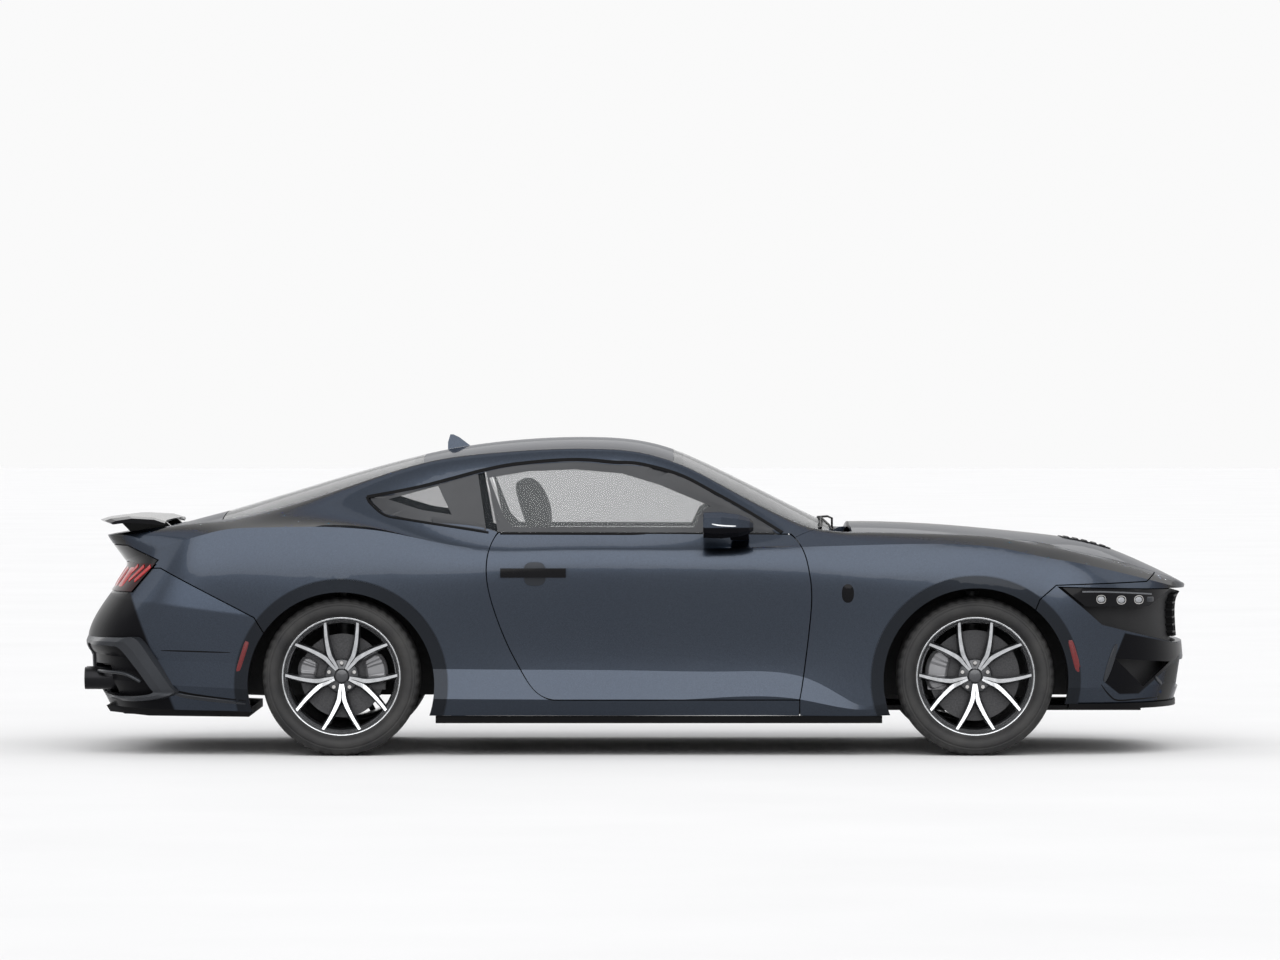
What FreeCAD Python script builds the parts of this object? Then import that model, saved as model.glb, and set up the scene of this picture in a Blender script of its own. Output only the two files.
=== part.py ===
import FreeCAD, Part
import math
import os
import Sketcher
from FreeCAD import Rotation, Vector

doc = FreeCAD.newDocument("CoupeCar")
sizes = doc.addObject("Spreadsheet::Sheet", "Sizes")
driving_sizes = [
    ("overall_length", 4810), ("body_width", 1916), ("roof_height", 1364),
    ("wheelbase", 2720), ("front_overhang", 955), ("front_track", 1580), ("rear_track", 1590),
    ("tyre_radius", 340), ("tyre_front_width", 255), ("tyre_rear_width", 275),
    ("rim_seat_radius", 241), ("rim_flange_radius", 256), ("rim_wall", 9),
    ("hub_radius", 72), ("hub_face_set", 44), ("spoke_depth", 26),
    ("spoke_width", 30), ("lug_circle_radius", 57.15), ("lug_hole_radius", 13),
    ("front_arch_radius", 396), ("front_arch_drop", 16), ("rear_arch_radius", 400), ("rear_arch_drop", 37),
    ("arch_lip_width", 54), ("arch_lip_rise", 7), ("liner_radius", 436), ("liner_wall", 6),
    ("liner_inner_wall_y", 462), ("skin_depth", 28), ("panel_gap", 5), ("seat_gap", 0.3),
    ("roof_depth", 22), ("hood_depth", 24), ("glass_depth", 6), ("glass_inset", 5), ("flange_width", 42),
    ("flange_depth", 10), ("door_depth", 104), ("door_inner_margin", 26), ("cutter_overrun", 120),
    ("hood_rear_x", 926), ("cowl_front_x", 921), ("cowl_set", 36), ("header_x", 158), ("roof_rear_x", -930),
    ("deck_front_x", -1800), ("windshield_base_x", 842), ("windshield_bow", 46),
    ("disc_front_radius", 195), ("disc_rear_radius", 180), ("disc_thickness", 34), ("disc_inset", 30),
    ("disc_hat_radius", 90), ("caliper_depth", 60), ("spindle_radius", 30), ("spindle_clearance", 0.5),
    ("floor_bottom", 178), ("floor_depth", 42), ("firewall_x", 760), ("firewall_depth", 22),
    ("bulkhead_x", -1250), ("tunnel_width", 260), ("tunnel_height", 210),
    ("engine_length", 720), ("engine_width", 620), ("engine_height", 560),
    ("seat_width", 500), ("seat_base_depth", 150), ("seat_back_depth", 150), ("seat_centre_y", 390),
    ("wheel_grip_radius", 178), ("wheel_grip_thickness", 15),
    ("splitter_depth", 23), ("skirt_depth", 30), ("wing_chord", 300), ("wing_depth", 22),
    ("tailpipe_radius", 48), ("tailpipe_wall", 3), ("wiper_radius", 7),
    ("mirror_reach", 190), ("mirror_height", 112), ("mirror_length", 214), ("mirror_rear_x", 282),
    ("mirror_z", 990), ("mirror_span", 1040), ("handle_length", 280), ("handle_height", 40), ("handle_x", -447),
    ("handle_z", 785), ("handle_proud", 30), ("handle_cup_radius", 62),
    ("seat_hip_x", -350), ("seat_base_top", 440), ("seat_back_top", 985), ("head_rest_x", -480),
    ("head_rest_top", 1190), ("wheel_x", 215), ("wheel_z", 835), ("wiper_set", 34),
    ("fin_x", -690), ("fin_length", 146), ("fin_height", 66), ("fin_width", 40),
    ("nose_panel_set", 52), ("nose_panel_depth", 14), ("nose_panel_lap", 14),
    ("splitter_reach", 8), ("splitter_floor", 199.3), ("splitter_width", 150),
    ("skirt_floor", 140.5), ("skirt_width", 60),
    ("wing_reach", 2350), ("wing_height", 1026), ("wing_half_span", 700),
    ("wing_pedestal_y", 400), ("wing_pedestal_width", 60),
    ("diffuser_half_width", 560), ("diffuser_fin", 12),
    ("tailpipe_y", 560), ("tailpipe_z", 325), ("tailpipe_margin", 16), ("tailpipe_length", 220),
    ("headlamp_inner_y", 470), ("lamp_set", 6), ("grille_set", 22), ("grille_bar", 8),
    ("tail_lamp_proud", 6), ("tail_lamp_inner_y", 380),
    ("kingpin_set", 92), ("knuckle_size", 80), ("arm_width", 30), ("strut_radius", 34),
    ("sill_width", 130), ("boot_floor", 380), ("shelf_height", 880),
    ("jack_pad_radius", 32), ("jack_pad_height", 12),
]
for row, (alias, value) in enumerate(driving_sizes, start=1):
    sizes.set(f"A{row}", alias)
    sizes.set(f"B{row}", str(value))
    sizes.setAlias(f"B{row}", alias)
doc.recompute()


def size(alias):
    return float(sizes.get(alias))


half_length = size("overall_length") / 2
half_width = size("body_width") / 2
height = size("roof_height")
front_axle_x = half_length - size("front_overhang")
rear_axle_x = front_axle_x - size("wheelbase")
overrun = size("cutter_overrun")
gap = size("panel_gap")
skin_depth = size("skin_depth")

# The body side follows nine lines that run along the car, from the middle of the tail round to the
# middle of the nose. Each is (along, out, up) in shares of half length, half width and height.
line_shares = {
    "sill": [(-0.728, 0.919, 0.141), (-0.528, 0.945, 0.128), (-0.333, 0.948, 0.127), (0, 0.948, 0.127),
             (0.291, 0.948, 0.127), (0.437, 0.945, 0.127), (0.603, 0.940, 0.146), (0.728, 0.929, 0.1632)],
    "rocker": [(-0.728, 0.955, 0.213), (-0.528, 0.966, 0.192), (-0.353, 0.967, 0.180), (-0.166, 0.971, 0.178),
               (0.083, 0.971, 0.178), (0.291, 0.967, 0.178), (0.399, 0.955, 0.146), (0.457, 0.952, 0.155),
               (0.603, 0.966, 0.198), (0.728, 0.958, 0.213)],
    "crease": [(-0.728, 0.962, 0.293), (-0.528, 0.966, 0.280), (-0.387, 0.948, 0.274), (-0.250, 0.929, 0.271),
               (0, 0.925, 0.268), (0.166, 0.927, 0.265), (0.270, 0.934, 0.258), (0.333, 0.945, 0.220),
               (0.395, 0.954, 0.162), (0.457, 0.955, 0.172), (0.541, 0.962, 0.235), (0.624, 0.971, 0.273),
               (0.728, 0.965, 0.282)],
    "waist": [(-0.728, 0.983, 0.440), (-0.528, 0.997, 0.440), (-0.387, 0.969, 0.433), (-0.250, 0.946, 0.429),
              (0, 0.942, 0.425), (0.250, 0.948, 0.425), (0.416, 0.969, 0.425), (0.603, 0.990, 0.425),
              (0.728, 0.979, 0.414)],
    "flank": [(-0.728, 0.988, 0.579), (-0.624, 0.997, 0.587), (-0.528, 1, 0.587), (-0.416, 0.983, 0.576),
              (-0.312, 0.967, 0.566), (-0.166, 0.962, 0.565), (0, 0.965, 0.565), (0.250, 0.969, 0.563),
              (0.416, 0.979, 0.563), (0.603, 0.994, 0.561), (0.728, 0.977, 0.528)],
    "shoulder": [(-0.728, 0.945, 0.713), (-0.645, 0.955, 0.719), (-0.544, 0.958, 0.719),
                 (-0.462, 0.948, 0.708), (-0.387, 0.934, 0.682), (-0.303, 0.929, 0.655),
                 (-0.166, 0.931, 0.651), (0, 0.932, 0.653), (0.250, 0.932, 0.655), (0.416, 0.932, 0.663),
                 (0.541, 0.936, 0.666), (0.645, 0.935, 0.654), (0.728, 0.925, 0.623)],
    "belt": [(-0.728, 0.835, 0.733), (-0.624, 0.809, 0.751), (-0.541, 0.799, 0.760), (-0.449, 0.809, 0.752),
             (-0.353, 0.828, 0.727), (-0.246, 0.848, 0.700), (-0.083, 0.853, 0.697), (0.125, 0.851, 0.697),
             (0.252, 0.846, 0.697), (0.353, 0.841, 0.697), (0.416, 0.841, 0.696), (0.541, 0.843, 0.692),
             (0.645, 0.841, 0.678), (0.728, 0.831, 0.648)],
    "glass": [(-0.728, 0.731, 0.744), (-0.624, 0.712, 0.779), (-0.531, 0.689, 0.820), (-0.443, 0.681, 0.858),
              (-0.355, 0.684, 0.880), (-0.245, 0.693, 0.876), (-0.083, 0.697, 0.876), (0.062, 0.702, 0.861),
              (0.166, 0.722, 0.803), (0.258, 0.754, 0.746), (0.333, 0.781, 0.708), (0.374, 0.785, 0.702),
              (0.416, 0.785, 0.702), (0.541, 0.787, 0.697), (0.645, 0.785, 0.686), (0.728, 0.779, 0.658)],
    "ditch": [(-0.728, 0.618, 0), (-0.624, 0.597, 0), (-0.531, 0.587, 0), (-0.355, 0.574, 0),
              (-0.157, 0.576, 0), (0, 0.591, 0), (0.083, 0.614, 0), (0.166, 0.645, 0), (0.250, 0.684, 0),
              (0.333, 0.724, 0), (0.374, 0.731, 0), (0.541, 0.733, 0), (0.728, 0.731, 0)],
}
# Where each line meets the centre plane: (tail along, tail up, nose along, nose up).
end_shares = {
    "sill": (-0.960, 0.150, 0.978, 0.1632), "rocker": (-0.986, 0.242, 0.988, 0.220),
    "crease": (-0.988, 0.315, 0.995, 0.301), "waist": (-0.989, 0.421, 0.990, 0.411),
    "flank": (-0.943, 0.539, 0.991, 0.477), "shoulder": (-0.931, 0.605, 0.997, 0.513),
    "belt": (-0.963, 0.679, 0.999, 0.523), "glass": (-0.963, 0.686, 0.999, 0.529),
    "ditch": (-0.956, 0, 0.995, 0),
}
# How the inner face of each line is set: (inward, downward) per unit of depth.
inset_shares = {
    "sill": (1, 0), "rocker": (1, 0), "crease": (1, 0), "waist": (1, 0), "flank": (1, 0),
    "shoulder": (0.90, 0.44), "belt": (0.80, 0.60), "glass": (0.85, 0.53), "ditch": (0, 1),
}
lip_lines = ("shoulder", "belt", "glass", "ditch")
lip_thinning_share = 0.68
flank_start_share, flank_end_share = -0.728, 0.728
flank_station_shares = [-0.728, -0.66, -0.59, -0.528, -0.462, -0.40, -0.34, -0.28, -0.22, -0.15, -0.07,
                        0.01, 0.09, 0.16, 0.22, 0.27, 0.31, 0.345, 0.375, 0.41, 0.47, 0.54, 0.603,
                        0.665, 0.728]
tail_angles = [0, 14, 28, 41, 53, 64, 74, 83]
nose_angles = [83, 74, 64, 53, 41, 28, 14, 0]
tail_roundness = (3.0, 3.5)
nose_roundness = (2.3, 3.0)

# Middle line of the cabin and of the hood: (along, up), and how far their edges drop: (along, drop).
cabin_top_shares = [(-0.964, 0.688), (-0.915, 0.701), (-0.865, 0.713), (-0.827, 0.726), (-0.795, 0.741),
                    (-0.751, 0.761), (-0.707, 0.784), (-0.619, 0.831), (-0.531, 0.878), (-0.443, 0.921),
                    (-0.355, 0.958), (-0.245, 0.987), (-0.157, 0.9985), (-0.069, 1), (-0.003, 0.991),
                    (0.063, 0.963), (0.129, 0.914), (0.218, 0.837), (0.305, 0.760), (0.374, 0.700)]
cabin_drop_shares = [(-0.964, 0.009), (-0.795, 0.021), (-0.707, 0.035), (-0.531, 0.043), (-0.355, 0.040),
                     (-0.157, 0.037), (0, 0.041), (0.129, 0.054), (0.218, 0.063), (0.305, 0.059),
                     (0.374, 0.048)]
hood_top_shares = [(0.341, 0.726), (0.393, 0.728), (0.482, 0.725), (0.569, 0.716), (0.657, 0.702),
                   (0.746, 0.686), (0.790, 0.675), (0.855, 0.647), (0.899, 0.617), (0.944, 0.581),
                   (0.988, 0.541), (1.010, 0.518)]
hood_drop_shares = [(0.341, 0.028), (0.416, 0.028), (0.648, 0.021), (0.741, 0.026), (0.788, 0.037),
                    (0.865, 0.038), (0.938, 0.031), (1.010, 0.015)]
top_split_share = 0.362


def smooth_line(pairs):
    # A natural cubic through (place, value) pairs.
    places = [pair[0] for pair in pairs]
    values = [pair[1] for pair in pairs]
    count = len(pairs)
    bend = [0.0] * count
    carry = [0.0] * count
    for i in range(1, count - 1):
        share = (places[i] - places[i - 1]) / (places[i + 1] - places[i - 1])
        pivot = share * bend[i - 1] + 2
        bend[i] = (share - 1) / pivot
        rise = (values[i + 1] - values[i]) / (places[i + 1] - places[i])
        rise -= (values[i] - values[i - 1]) / (places[i] - places[i - 1])
        carry[i] = (6 * rise / (places[i + 1] - places[i - 1]) - share * carry[i - 1]) / pivot
    bend[-1] = 0.0
    for i in range(count - 2, -1, -1):
        bend[i] = bend[i] * bend[i + 1] + carry[i]

    def at(place):
        i = 0
        while i < count - 2 and place > places[i + 1]:
            i += 1
        step = places[i + 1] - places[i]
        before = (places[i + 1] - place) / step
        after = (place - places[i]) / step
        curl = (before ** 3 - before) * bend[i] + (after ** 3 - after) * bend[i + 1]
        return before * values[i] + after * values[i + 1] + curl * step * step / 6

    return at


cabin_top = smooth_line(cabin_top_shares)
cabin_drop = smooth_line(cabin_drop_shares)
hood_top = smooth_line(hood_top_shares)
hood_drop = smooth_line(hood_drop_shares)
ditch_out = smooth_line([(along, out) for along, out, up in line_shares["ditch"]])


def ditch_y(x):
    along = min(max(x / half_length, flank_start_share), flank_end_share)
    return ditch_out(along) * half_width


def top_z(x, y, on_hood):
    along = x / half_length
    middle = hood_top(along) if on_hood else cabin_top(along)
    drop = hood_drop(along) if on_hood else cabin_drop(along)
    return (middle - drop * (abs(y) / ditch_y(x)) ** 2) * height


def line_points(name):
    # One line of the right-hand side, from the tail's middle to the nose's middle, out as positive.
    pairs = line_shares[name]
    out_at = smooth_line([(along, out) for along, out, up in pairs])
    up_at = smooth_line([(along, up) for along, out, up in pairs])
    tail_along, tail_up, nose_along, nose_up = end_shares[name]
    points = []
    for angle in tail_angles:
        reach = math.cos(math.radians(angle)) ** (2 / tail_roundness[0])
        spread = math.sin(math.radians(angle)) ** (2 / tail_roundness[1])
        along = flank_start_share + (tail_along - flank_start_share) * reach
        up = up_at(flank_start_share) + (tail_up - up_at(flank_start_share)) * reach ** 1.2
        points.append((along, out_at(flank_start_share) * spread, up))
    for along in flank_station_shares:
        points.append((along, out_at(along), up_at(along)))
    for angle in nose_angles:
        reach = math.cos(math.radians(angle)) ** (2 / nose_roundness[0])
        spread = math.sin(math.radians(angle)) ** (2 / nose_roundness[1])
        along = flank_end_share + (nose_along - flank_end_share) * reach
        up = up_at(flank_end_share) + (nose_up - up_at(flank_end_share)) * reach ** 1.2
        points.append((along, out_at(flank_end_share) * spread, up))
    placed = []
    for along, out, up in points:
        x, y, z = along * half_length, out * half_width, up * height
        if name == "ditch":
            z = top_z(x, y, along > top_split_share)
        placed.append(Vector(x, y, z))
    return placed


lines = {name: line_points(name) for name in line_shares}


def inward(name, i):
    # The level direction into the car at one place of a line.
    points = lines[name]
    if i == 0:
        return Vector(1, 0, 0)
    if i == len(points) - 1:
        return Vector(-1, 0, 0)
    run = points[i + 1] - points[i - 1]
    return Vector(run.y, -run.x, 0).normalize()


def set_in(name, depth):
    # The same line moved into the car, on the right-hand side. The lips over nose and tail are thin.
    level, down = inset_shares[name]
    moved = []
    for i, point in enumerate(lines[name]):
        past_flank = max(0, abs(point.x) / half_length - flank_end_share) / (1 - flank_end_share)
        local_depth = depth
        if name in lip_lines and depth > 0:
            local_depth = depth * (1 - lip_thinning_share * min(1, past_flank))
        place = point + inward(name, i) * (level * local_depth) - Vector(0, 0, down * local_depth)
        moved.append(Vector(place.x, -place.y, place.z))
    return moved


def spline_data(points):
    curve = Part.BSplineCurve()
    curve.interpolate(Points=points, Parameters=[float(i) for i in range(len(points))])
    return curve.getPoles(), curve


def grid_face(rows):
    # A smooth face through rows of points; rows that two faces share give them the same edge.
    along_poles = []
    for row in rows:
        poles, along_curve = spline_data(row)
        along_poles.append(poles)
    across_poles = []
    for column in zip(*along_poles):
        poles, across_curve = spline_data(list(column))
        across_poles.append(poles)
    surface = Part.BSplineSurface()
    surface.buildFromPolesMultsKnots(
        across_poles, along_curve.getMultiplicities(), across_curve.getMultiplicities(),
        along_curve.getKnots(), across_curve.getKnots(), False, False,
        along_curve.Degree, across_curve.Degree)
    return surface.toShape()


def closed_solid(faces):
    shell = Part.Compound(faces)
    shell.sewShape()
    solid = Part.Solid(shell.Shells[0])
    if solid.Volume < 0:
        solid.reverse()
    return solid


def slab_between(outer_strips, inner_strips):
    # Strips are lists of rows; neighbours share a row. Closes the sides between outer and inner.
    faces = [grid_face(strip) for strip in outer_strips] + [grid_face(strip) for strip in inner_strips]
    faces.append(grid_face([outer_strips[0][0], inner_strips[0][0]]))
    faces.append(grid_face([outer_strips[-1][-1], inner_strips[-1][-1]]))
    for outer, inner in zip(outer_strips, inner_strips):
        for end in (0, -1):
            faces.append(grid_face([[row[end] for row in outer], [row[end] for row in inner]]))
    return closed_solid(faces)


side_strips = [("sill", "rocker"), ("rocker", "crease"), ("crease", "waist", "flank", "shoulder"),
               ("shoulder", "belt", "glass", "ditch")]


def side_slab(outer_depth, inner_depth, strips=side_strips):
    outer = [[set_in(name, outer_depth) for name in strip] for strip in strips]
    inner = [[set_in(name, inner_depth) for name in strip] for strip in strips]
    return slab_between(outer, inner)


def top_slab(on_hood, start, end, depth, start_depth=0.0):
    # A slab under the hood's or the cabin's top surface, from one place along the car to another.
    across_shares = [-1.12, -0.84, -0.56, -0.28, 0, 0.28, 0.56, 0.84, 1.12]
    steps = 22
    widest = max(out for along, out, up in line_shares["ditch"]) * half_width
    outer = []
    inner = []
    for share in across_shares:
        row = []
        for i in range(steps + 1):
            x = start + (end - start) * i / steps
            y = share * widest
            row.append(Vector(x, y, top_z(x, y, on_hood) - start_depth))
        outer.append(row)
        inner.append([point - Vector(0, 0, depth - start_depth) for point in row])
    return slab_between([outer], [inner])


def ditch_prism(inset):
    # Everything inside the ditch line as seen from above.
    right = []
    for i, point in enumerate(lines["ditch"]):
        place = point + inward("ditch", i) * inset
        right.append(Vector(place.x, -place.y, 0))
    left = [Vector(point.x, -point.y, 0) for point in reversed(right)]
    edges = []
    for side in (right, left):
        curve = Part.BSplineCurve()
        curve.interpolate(Points=side, Parameters=[float(i) for i in range(len(side))])
        edges.append(curve.toShape())
    return Part.Face(Part.Wire(edges)).extrude(Vector(0, 0, height + overrun))


def side_prism(paths, near_y, far_y):
    # A closed side-view outline, drawn across the car. A path of over two places is a smooth curve.
    edges = []
    for path in paths:
        points = [Vector(along * half_length, near_y, up * height) for along, up in path]
        if points[0] == points[-1]:
            continue
        if len(points) == 2:
            edges.append(Part.LineSegment(points[0], points[1]).toShape())
        else:
            curve = Part.BSplineCurve()
            curve.interpolate(points)
            edges.append(curve.toShape())
    return Part.Face(Part.Wire(edges)).extrude(Vector(0, far_y - near_y, 0))


def block(low, high):
    low, high = Vector(*low), Vector(*high)
    span = high - low
    return Part.makeBox(span.x, span.y, span.z, low)


def drum(radius, start, length, direction=(0, 1, 0)):
    return Part.makeCylinder(radius, length, Vector(*start), Vector(*direction))


def mirrored(shape):
    return shape.mirror(Vector(0, 0, 0), Vector(0, 1, 0))


nodes = []


def keep(label, shape):
    feature = doc.addObject("Part::Feature", label)
    feature.Label = label
    feature.Shape = shape
    nodes.append(feature)
    return feature


def keep_pair(name, right_shape):
    keep(name + "_right", right_shape)
    keep(name + "_left", mirrored(right_shape))


def with_mirror(right_shapes):
    # Like pieces of both sides as one node.
    return Part.Compound(right_shapes + [mirrored(shape) for shape in right_shapes])


# Shut lines and openings of the side, seen from the side: (along, up).
door_front_shares = [(0.273, 0.694), (0.287, 0.669), (0.298, 0.630), (0.305, 0.578), (0.308, 0.544),
                     (0.307, 0.428), (0.298, 0.290), (0.294, 0.237), (0.288, 0.178)]
door_rear_shares = [(-0.148, 0.178), (-0.180, 0.202), (-0.205, 0.263), (-0.229, 0.343), (-0.253, 0.450),
                    (-0.268, 0.566), (-0.266, 0.630), (-0.256, 0.680), (-0.248, 0.699)]
window_sill_shares = [(-0.483, 0.811), (-0.470, 0.780), (-0.449, 0.760), (-0.350, 0.730), (-0.246, 0.699)]
window_top_shares = [(0.252, 0.6942), (0.195, 0.762), (0.140, 0.817), (0.076, 0.875), (0.005, 0.909),
                     (-0.042, 0.914), (-0.099, 0.922), (-0.156, 0.919), (-0.227, 0.908), (-0.278, 0.889),
                     (-0.330, 0.865), (-0.398, 0.834), (-0.483, 0.811)]
window_seam_shares = [(-0.246, 0.650), (-0.246, 0.699), (-0.278, 0.889), (-0.290, 0.960)]
lamp_band_foot_share = (-0.914, 0.506)
headlamp_top_shares = [(0.717, 0.491), (0.746, 0.535), (0.912, 0.544), (0.939, 0.578), (0.957, 0.640)]
nose_opening_shares = [(0.747, 0.533), (1.040, 0.518), (1.040, 0.350), (0.965, 0.350), (0.828, 0.412),
                       (0.793, 0.466)]
side_intake_shares = [(0.852, 0.306), (0.958, 0.290), (0.905, 0.215)]
lower_intake_shares = [(0.900, 0.292), (1.040, 0.292), (1.040, 0.205), (0.900, 0.205)]


def moved_shares(shares, along=0.0, up=0.0):
    return [(a + along / half_length, u + up / height) for a, u in shares]


def door_outline(grow, rise=0.0):
    # The door's shut line from the side, grown evenly by a distance; its top edge has its own.
    front = moved_shares(door_front_shares, grow)
    rear = moved_shares(door_rear_shares, -grow)
    front[0] = (front[0][0], front[0][1] + rise / height)
    rear[-1] = (rear[-1][0], rear[-1][1] + rise / height)
    front[-1] = (front[-1][0], front[-1][1] - grow / height)
    rear[0] = (rear[0][0], rear[0][1] - grow / height)
    return [front, (front[-1], rear[0]), rear, (rear[-1], front[0])]


def window_outline(grow):
    # The window's edge from the side, grown by a distance; its two sharp corners move further.
    sill = moved_shares(window_sill_shares, 0, -grow)
    top = moved_shares(window_top_shares, 0, grow)
    corner_reach = 3 * grow
    tip = moved_shares(window_top_shares[-1:], -corner_reach, 0)[0]
    front = moved_shares(window_top_shares[:1], corner_reach, -grow)[0]
    sill[0] = top[-1] = tip
    top[0] = front
    return [sill, (sill[-1], front), top]


near_side = -(half_width + overrun)


def arch_drum(axle_x, radius, drop):
    return drum(radius, (axle_x, near_side, size("tyre_radius") - drop), half_width + overrun)


front_arch = arch_drum(front_axle_x, size("front_arch_radius"), size("front_arch_drop"))
rear_arch = arch_drum(rear_axle_x, size("rear_arch_radius"), size("rear_arch_drop"))
side = side_slab(0, skin_depth)
lip_slab = side_slab(-size("arch_lip_rise"), skin_depth / 2, side_strips[:3])
front_lip = lip_slab.common(
    arch_drum(front_axle_x, size("front_arch_radius") + size("arch_lip_width"), size("front_arch_drop")))
rear_lip = lip_slab.common(
    arch_drum(rear_axle_x, size("rear_arch_radius") + size("arch_lip_width"), size("rear_arch_drop")))
side = side.fuse([front_lip, rear_lip]).cut([front_arch, rear_arch])

# Side regions that the shut lines divide, each grown or shrunk by half a gap.
bumper_front_corners = [(0.603, 0)] + headlamp_top_shares + [(1.2, 0.7), (1.2, 0)]
bumper_rear_corners = [(-0.528, 0), (-0.683, 0.434), (-0.851, 0.588), (-0.871, 0.587), lamp_band_foot_share,
                       (-1.2, 0.506), (-1.2, 0)]


def grown_prism(corners, grow):
    # A polygon outline grown evenly, drawn across the right-hand side.
    points = [Vector(along * half_length, near_side, up * height) for along, up in corners]
    face = Part.Face(Part.makePolygon(points + points[:1]))
    if grow:
        face = face.makeOffset2D(grow, join=2)
    return face.extrude(Vector(0, overrun - near_side, 0))


# The seam between the fender and the foot of the windshield pillar, seen from above: (along, out).
pillar_wedge_shares = [(0.230, 0.872), (0.279, 0.872), (0.372, 0.722), (0.372, 0.500), (0.230, 0.500)]
pillar_wedge_floor_share = 0.670


def fender_prism(grow):
    # All that lies ahead of the door, except the foot of the pillar; grown by a distance.
    rear = moved_shares(door_front_shares, gap - grow)
    top, low = (rear[0][0], 1.1), (rear[-1][0], -0.1)
    corners = [rear[0], top, (1.2, 1.1), (1.2, -0.1), low, rear[-1]]
    paths = [(corners[i], corners[i + 1]) for i in range(len(corners) - 1)]
    ahead = side_prism(paths + [rear[::-1]], near_side, overrun)
    wedge = [Vector(along * half_length - grow, -out * half_width, pillar_wedge_floor_share * height + grow)
             for along, out in pillar_wedge_shares]
    wedge = Part.Face(Part.makePolygon(wedge + wedge[:1])).extrude(Vector(0, 0, height))
    return ahead.cut(wedge)


def region(paths):
    return side_prism(paths, near_side, overrun)


tail_band_corners = [lamp_band_foot_share, (-0.857, 0.614), (-0.917, 0.657), (-1.2, 0.657), (-1.2, 0.506)]


def cut_by(shape, tools):
    # One tool after another, which keeps each cut simple.
    for tool in tools:
        shape = shape.cut(tool)
    return shape


def main_piece(shape):
    # The largest solid, without the slivers that a long slanting cut leaves.
    return max(shape.Solids, key=lambda solid: solid.Volume)


side_panel = cut_by(side, [
    fender_prism(gap), region(door_outline(gap, gap)), region(window_outline(0)),
    grown_prism(bumper_rear_corners, gap), grown_prism(tail_band_corners, gap)])
door_skin = side.common(region(door_outline(0)))
fender = cut_by(side.common(fender_prism(0)), [grown_prism(bumper_front_corners, gap)])
bumper_front = side.common(grown_prism(bumper_front_corners, 0))
bumper_rear = side.common(grown_prism(bumper_rear_corners, 0))
tail_band = side.common(grown_prism(tail_band_corners, 0))


def both_sides(right_shape):
    # One solid from a right-hand half that reaches the centre plane and its mirror image.
    return right_shape.fuse(mirrored(right_shape)).removeSplitter()


keep("body_sides", with_mirror([side_panel]))
keep("fenders", with_mirror([main_piece(fender)]))

# Door: the outer skin, and the box behind it that holds the glass and the lock.
low_strips = side_strips[:3] + [("shoulder", "belt")]
door_box = side_slab(skin_depth - size("seat_gap"), size("door_depth"), low_strips)
door_box = door_box.common(region(door_outline(-size("door_inner_margin"))))
handle_cup = Part.makeSphere(size("handle_cup_radius"), Vector(
    size("handle_x"), -half_width - size("handle_cup_radius") * 0.42, size("handle_z")))
keep_pair("door", door_skin.fuse(door_box).cut(handle_cup))

# Glass of the side window, split at the rear edge of the door.
seam = side_prism([window_seam_shares, (window_seam_shares[-1], (-0.600, 0.960)),
                   ((-0.600, 0.960), (-0.600, 0.650)), ((-0.600, 0.650), window_seam_shares[0])],
                  near_side, overrun)
glass_slab = side_slab(size("glass_inset"), size("glass_inset") + size("glass_depth"), side_strips[3:])
side_glass = glass_slab.common(region(window_outline(-size("seat_gap"))))
seam_gap = seam.copy()
seam_gap.translate(Vector(gap, 0, 0))
keep_pair("door_glass", side_glass.cut(seam_gap))
quarter_glass = side_glass.common(seam)

# Top panels and glass, each cut from the top surface inside the ditch line.
firewall_top_share = 0.640
roof_outline = ditch_prism(size("seat_gap"))
lid_outline = ditch_prism(gap)


def band(start, end):
    return block((start, -half_width, 0), (end, half_width, height + overrun))


roof = top_slab(False, size("roof_rear_x") - overrun, size("header_x") + overrun, size("roof_depth"))
keep("roof_panel", roof.common(roof_outline).common(band(size("roof_rear_x"), size("header_x"))))
hood = top_slab(True, size("hood_rear_x") - gap, half_length + overrun / 6, size("hood_depth"))
keep("hood", hood.common(lid_outline).common(band(size("hood_rear_x"), half_length)))
glass_top = top_slab(False, size("deck_front_x") - overrun, size("cowl_front_x") - gap,
                     size("glass_depth"))
base_radius = (half_width ** 2) / (2 * size("windshield_bow"))
base_drum = drum(base_radius, (size("windshield_base_x") - base_radius, 0, 0), height + overrun, (0, 0, 1))
windshield = glass_top.common(roof_outline).common(
    band(size("header_x") + size("seat_gap"), size("cowl_front_x"))).common(base_drum)
rear_window = glass_top.common(roof_outline).common(
    band(size("deck_front_x") + gap, size("roof_rear_x") - size("seat_gap")))
keep("fixed_glass", Part.Compound([windshield, rear_window] + with_mirror([quarter_glass]).Solids))
deck = top_slab(False, -half_length * 0.958, size("deck_front_x") + gap, size("hood_depth"))
deck = deck.common(lid_outline).common(band(-half_length, size("deck_front_x")))
keep("deck_lid", deck)
cowl_start = size("firewall_x") + size("seat_gap")
cowl = top_slab(False, cowl_start, size("cowl_front_x"), size("cowl_set") + size("flange_depth"),
                size("cowl_set"))
cowl_rib = block((cowl_start, -half_width / 2, firewall_top_share * height + size("seat_gap")),
                 (cowl_start + size("flange_depth"), half_width / 2, height))
cowl_rib = cowl_rib.common(top_slab(False, cowl_start - gap, size("cowl_front_x"), height / 2,
                                    size("cowl_set") + size("flange_depth") / 2))
keep("cowl", main_piece(cowl.fuse(cowl_rib).common(lid_outline)))

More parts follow.
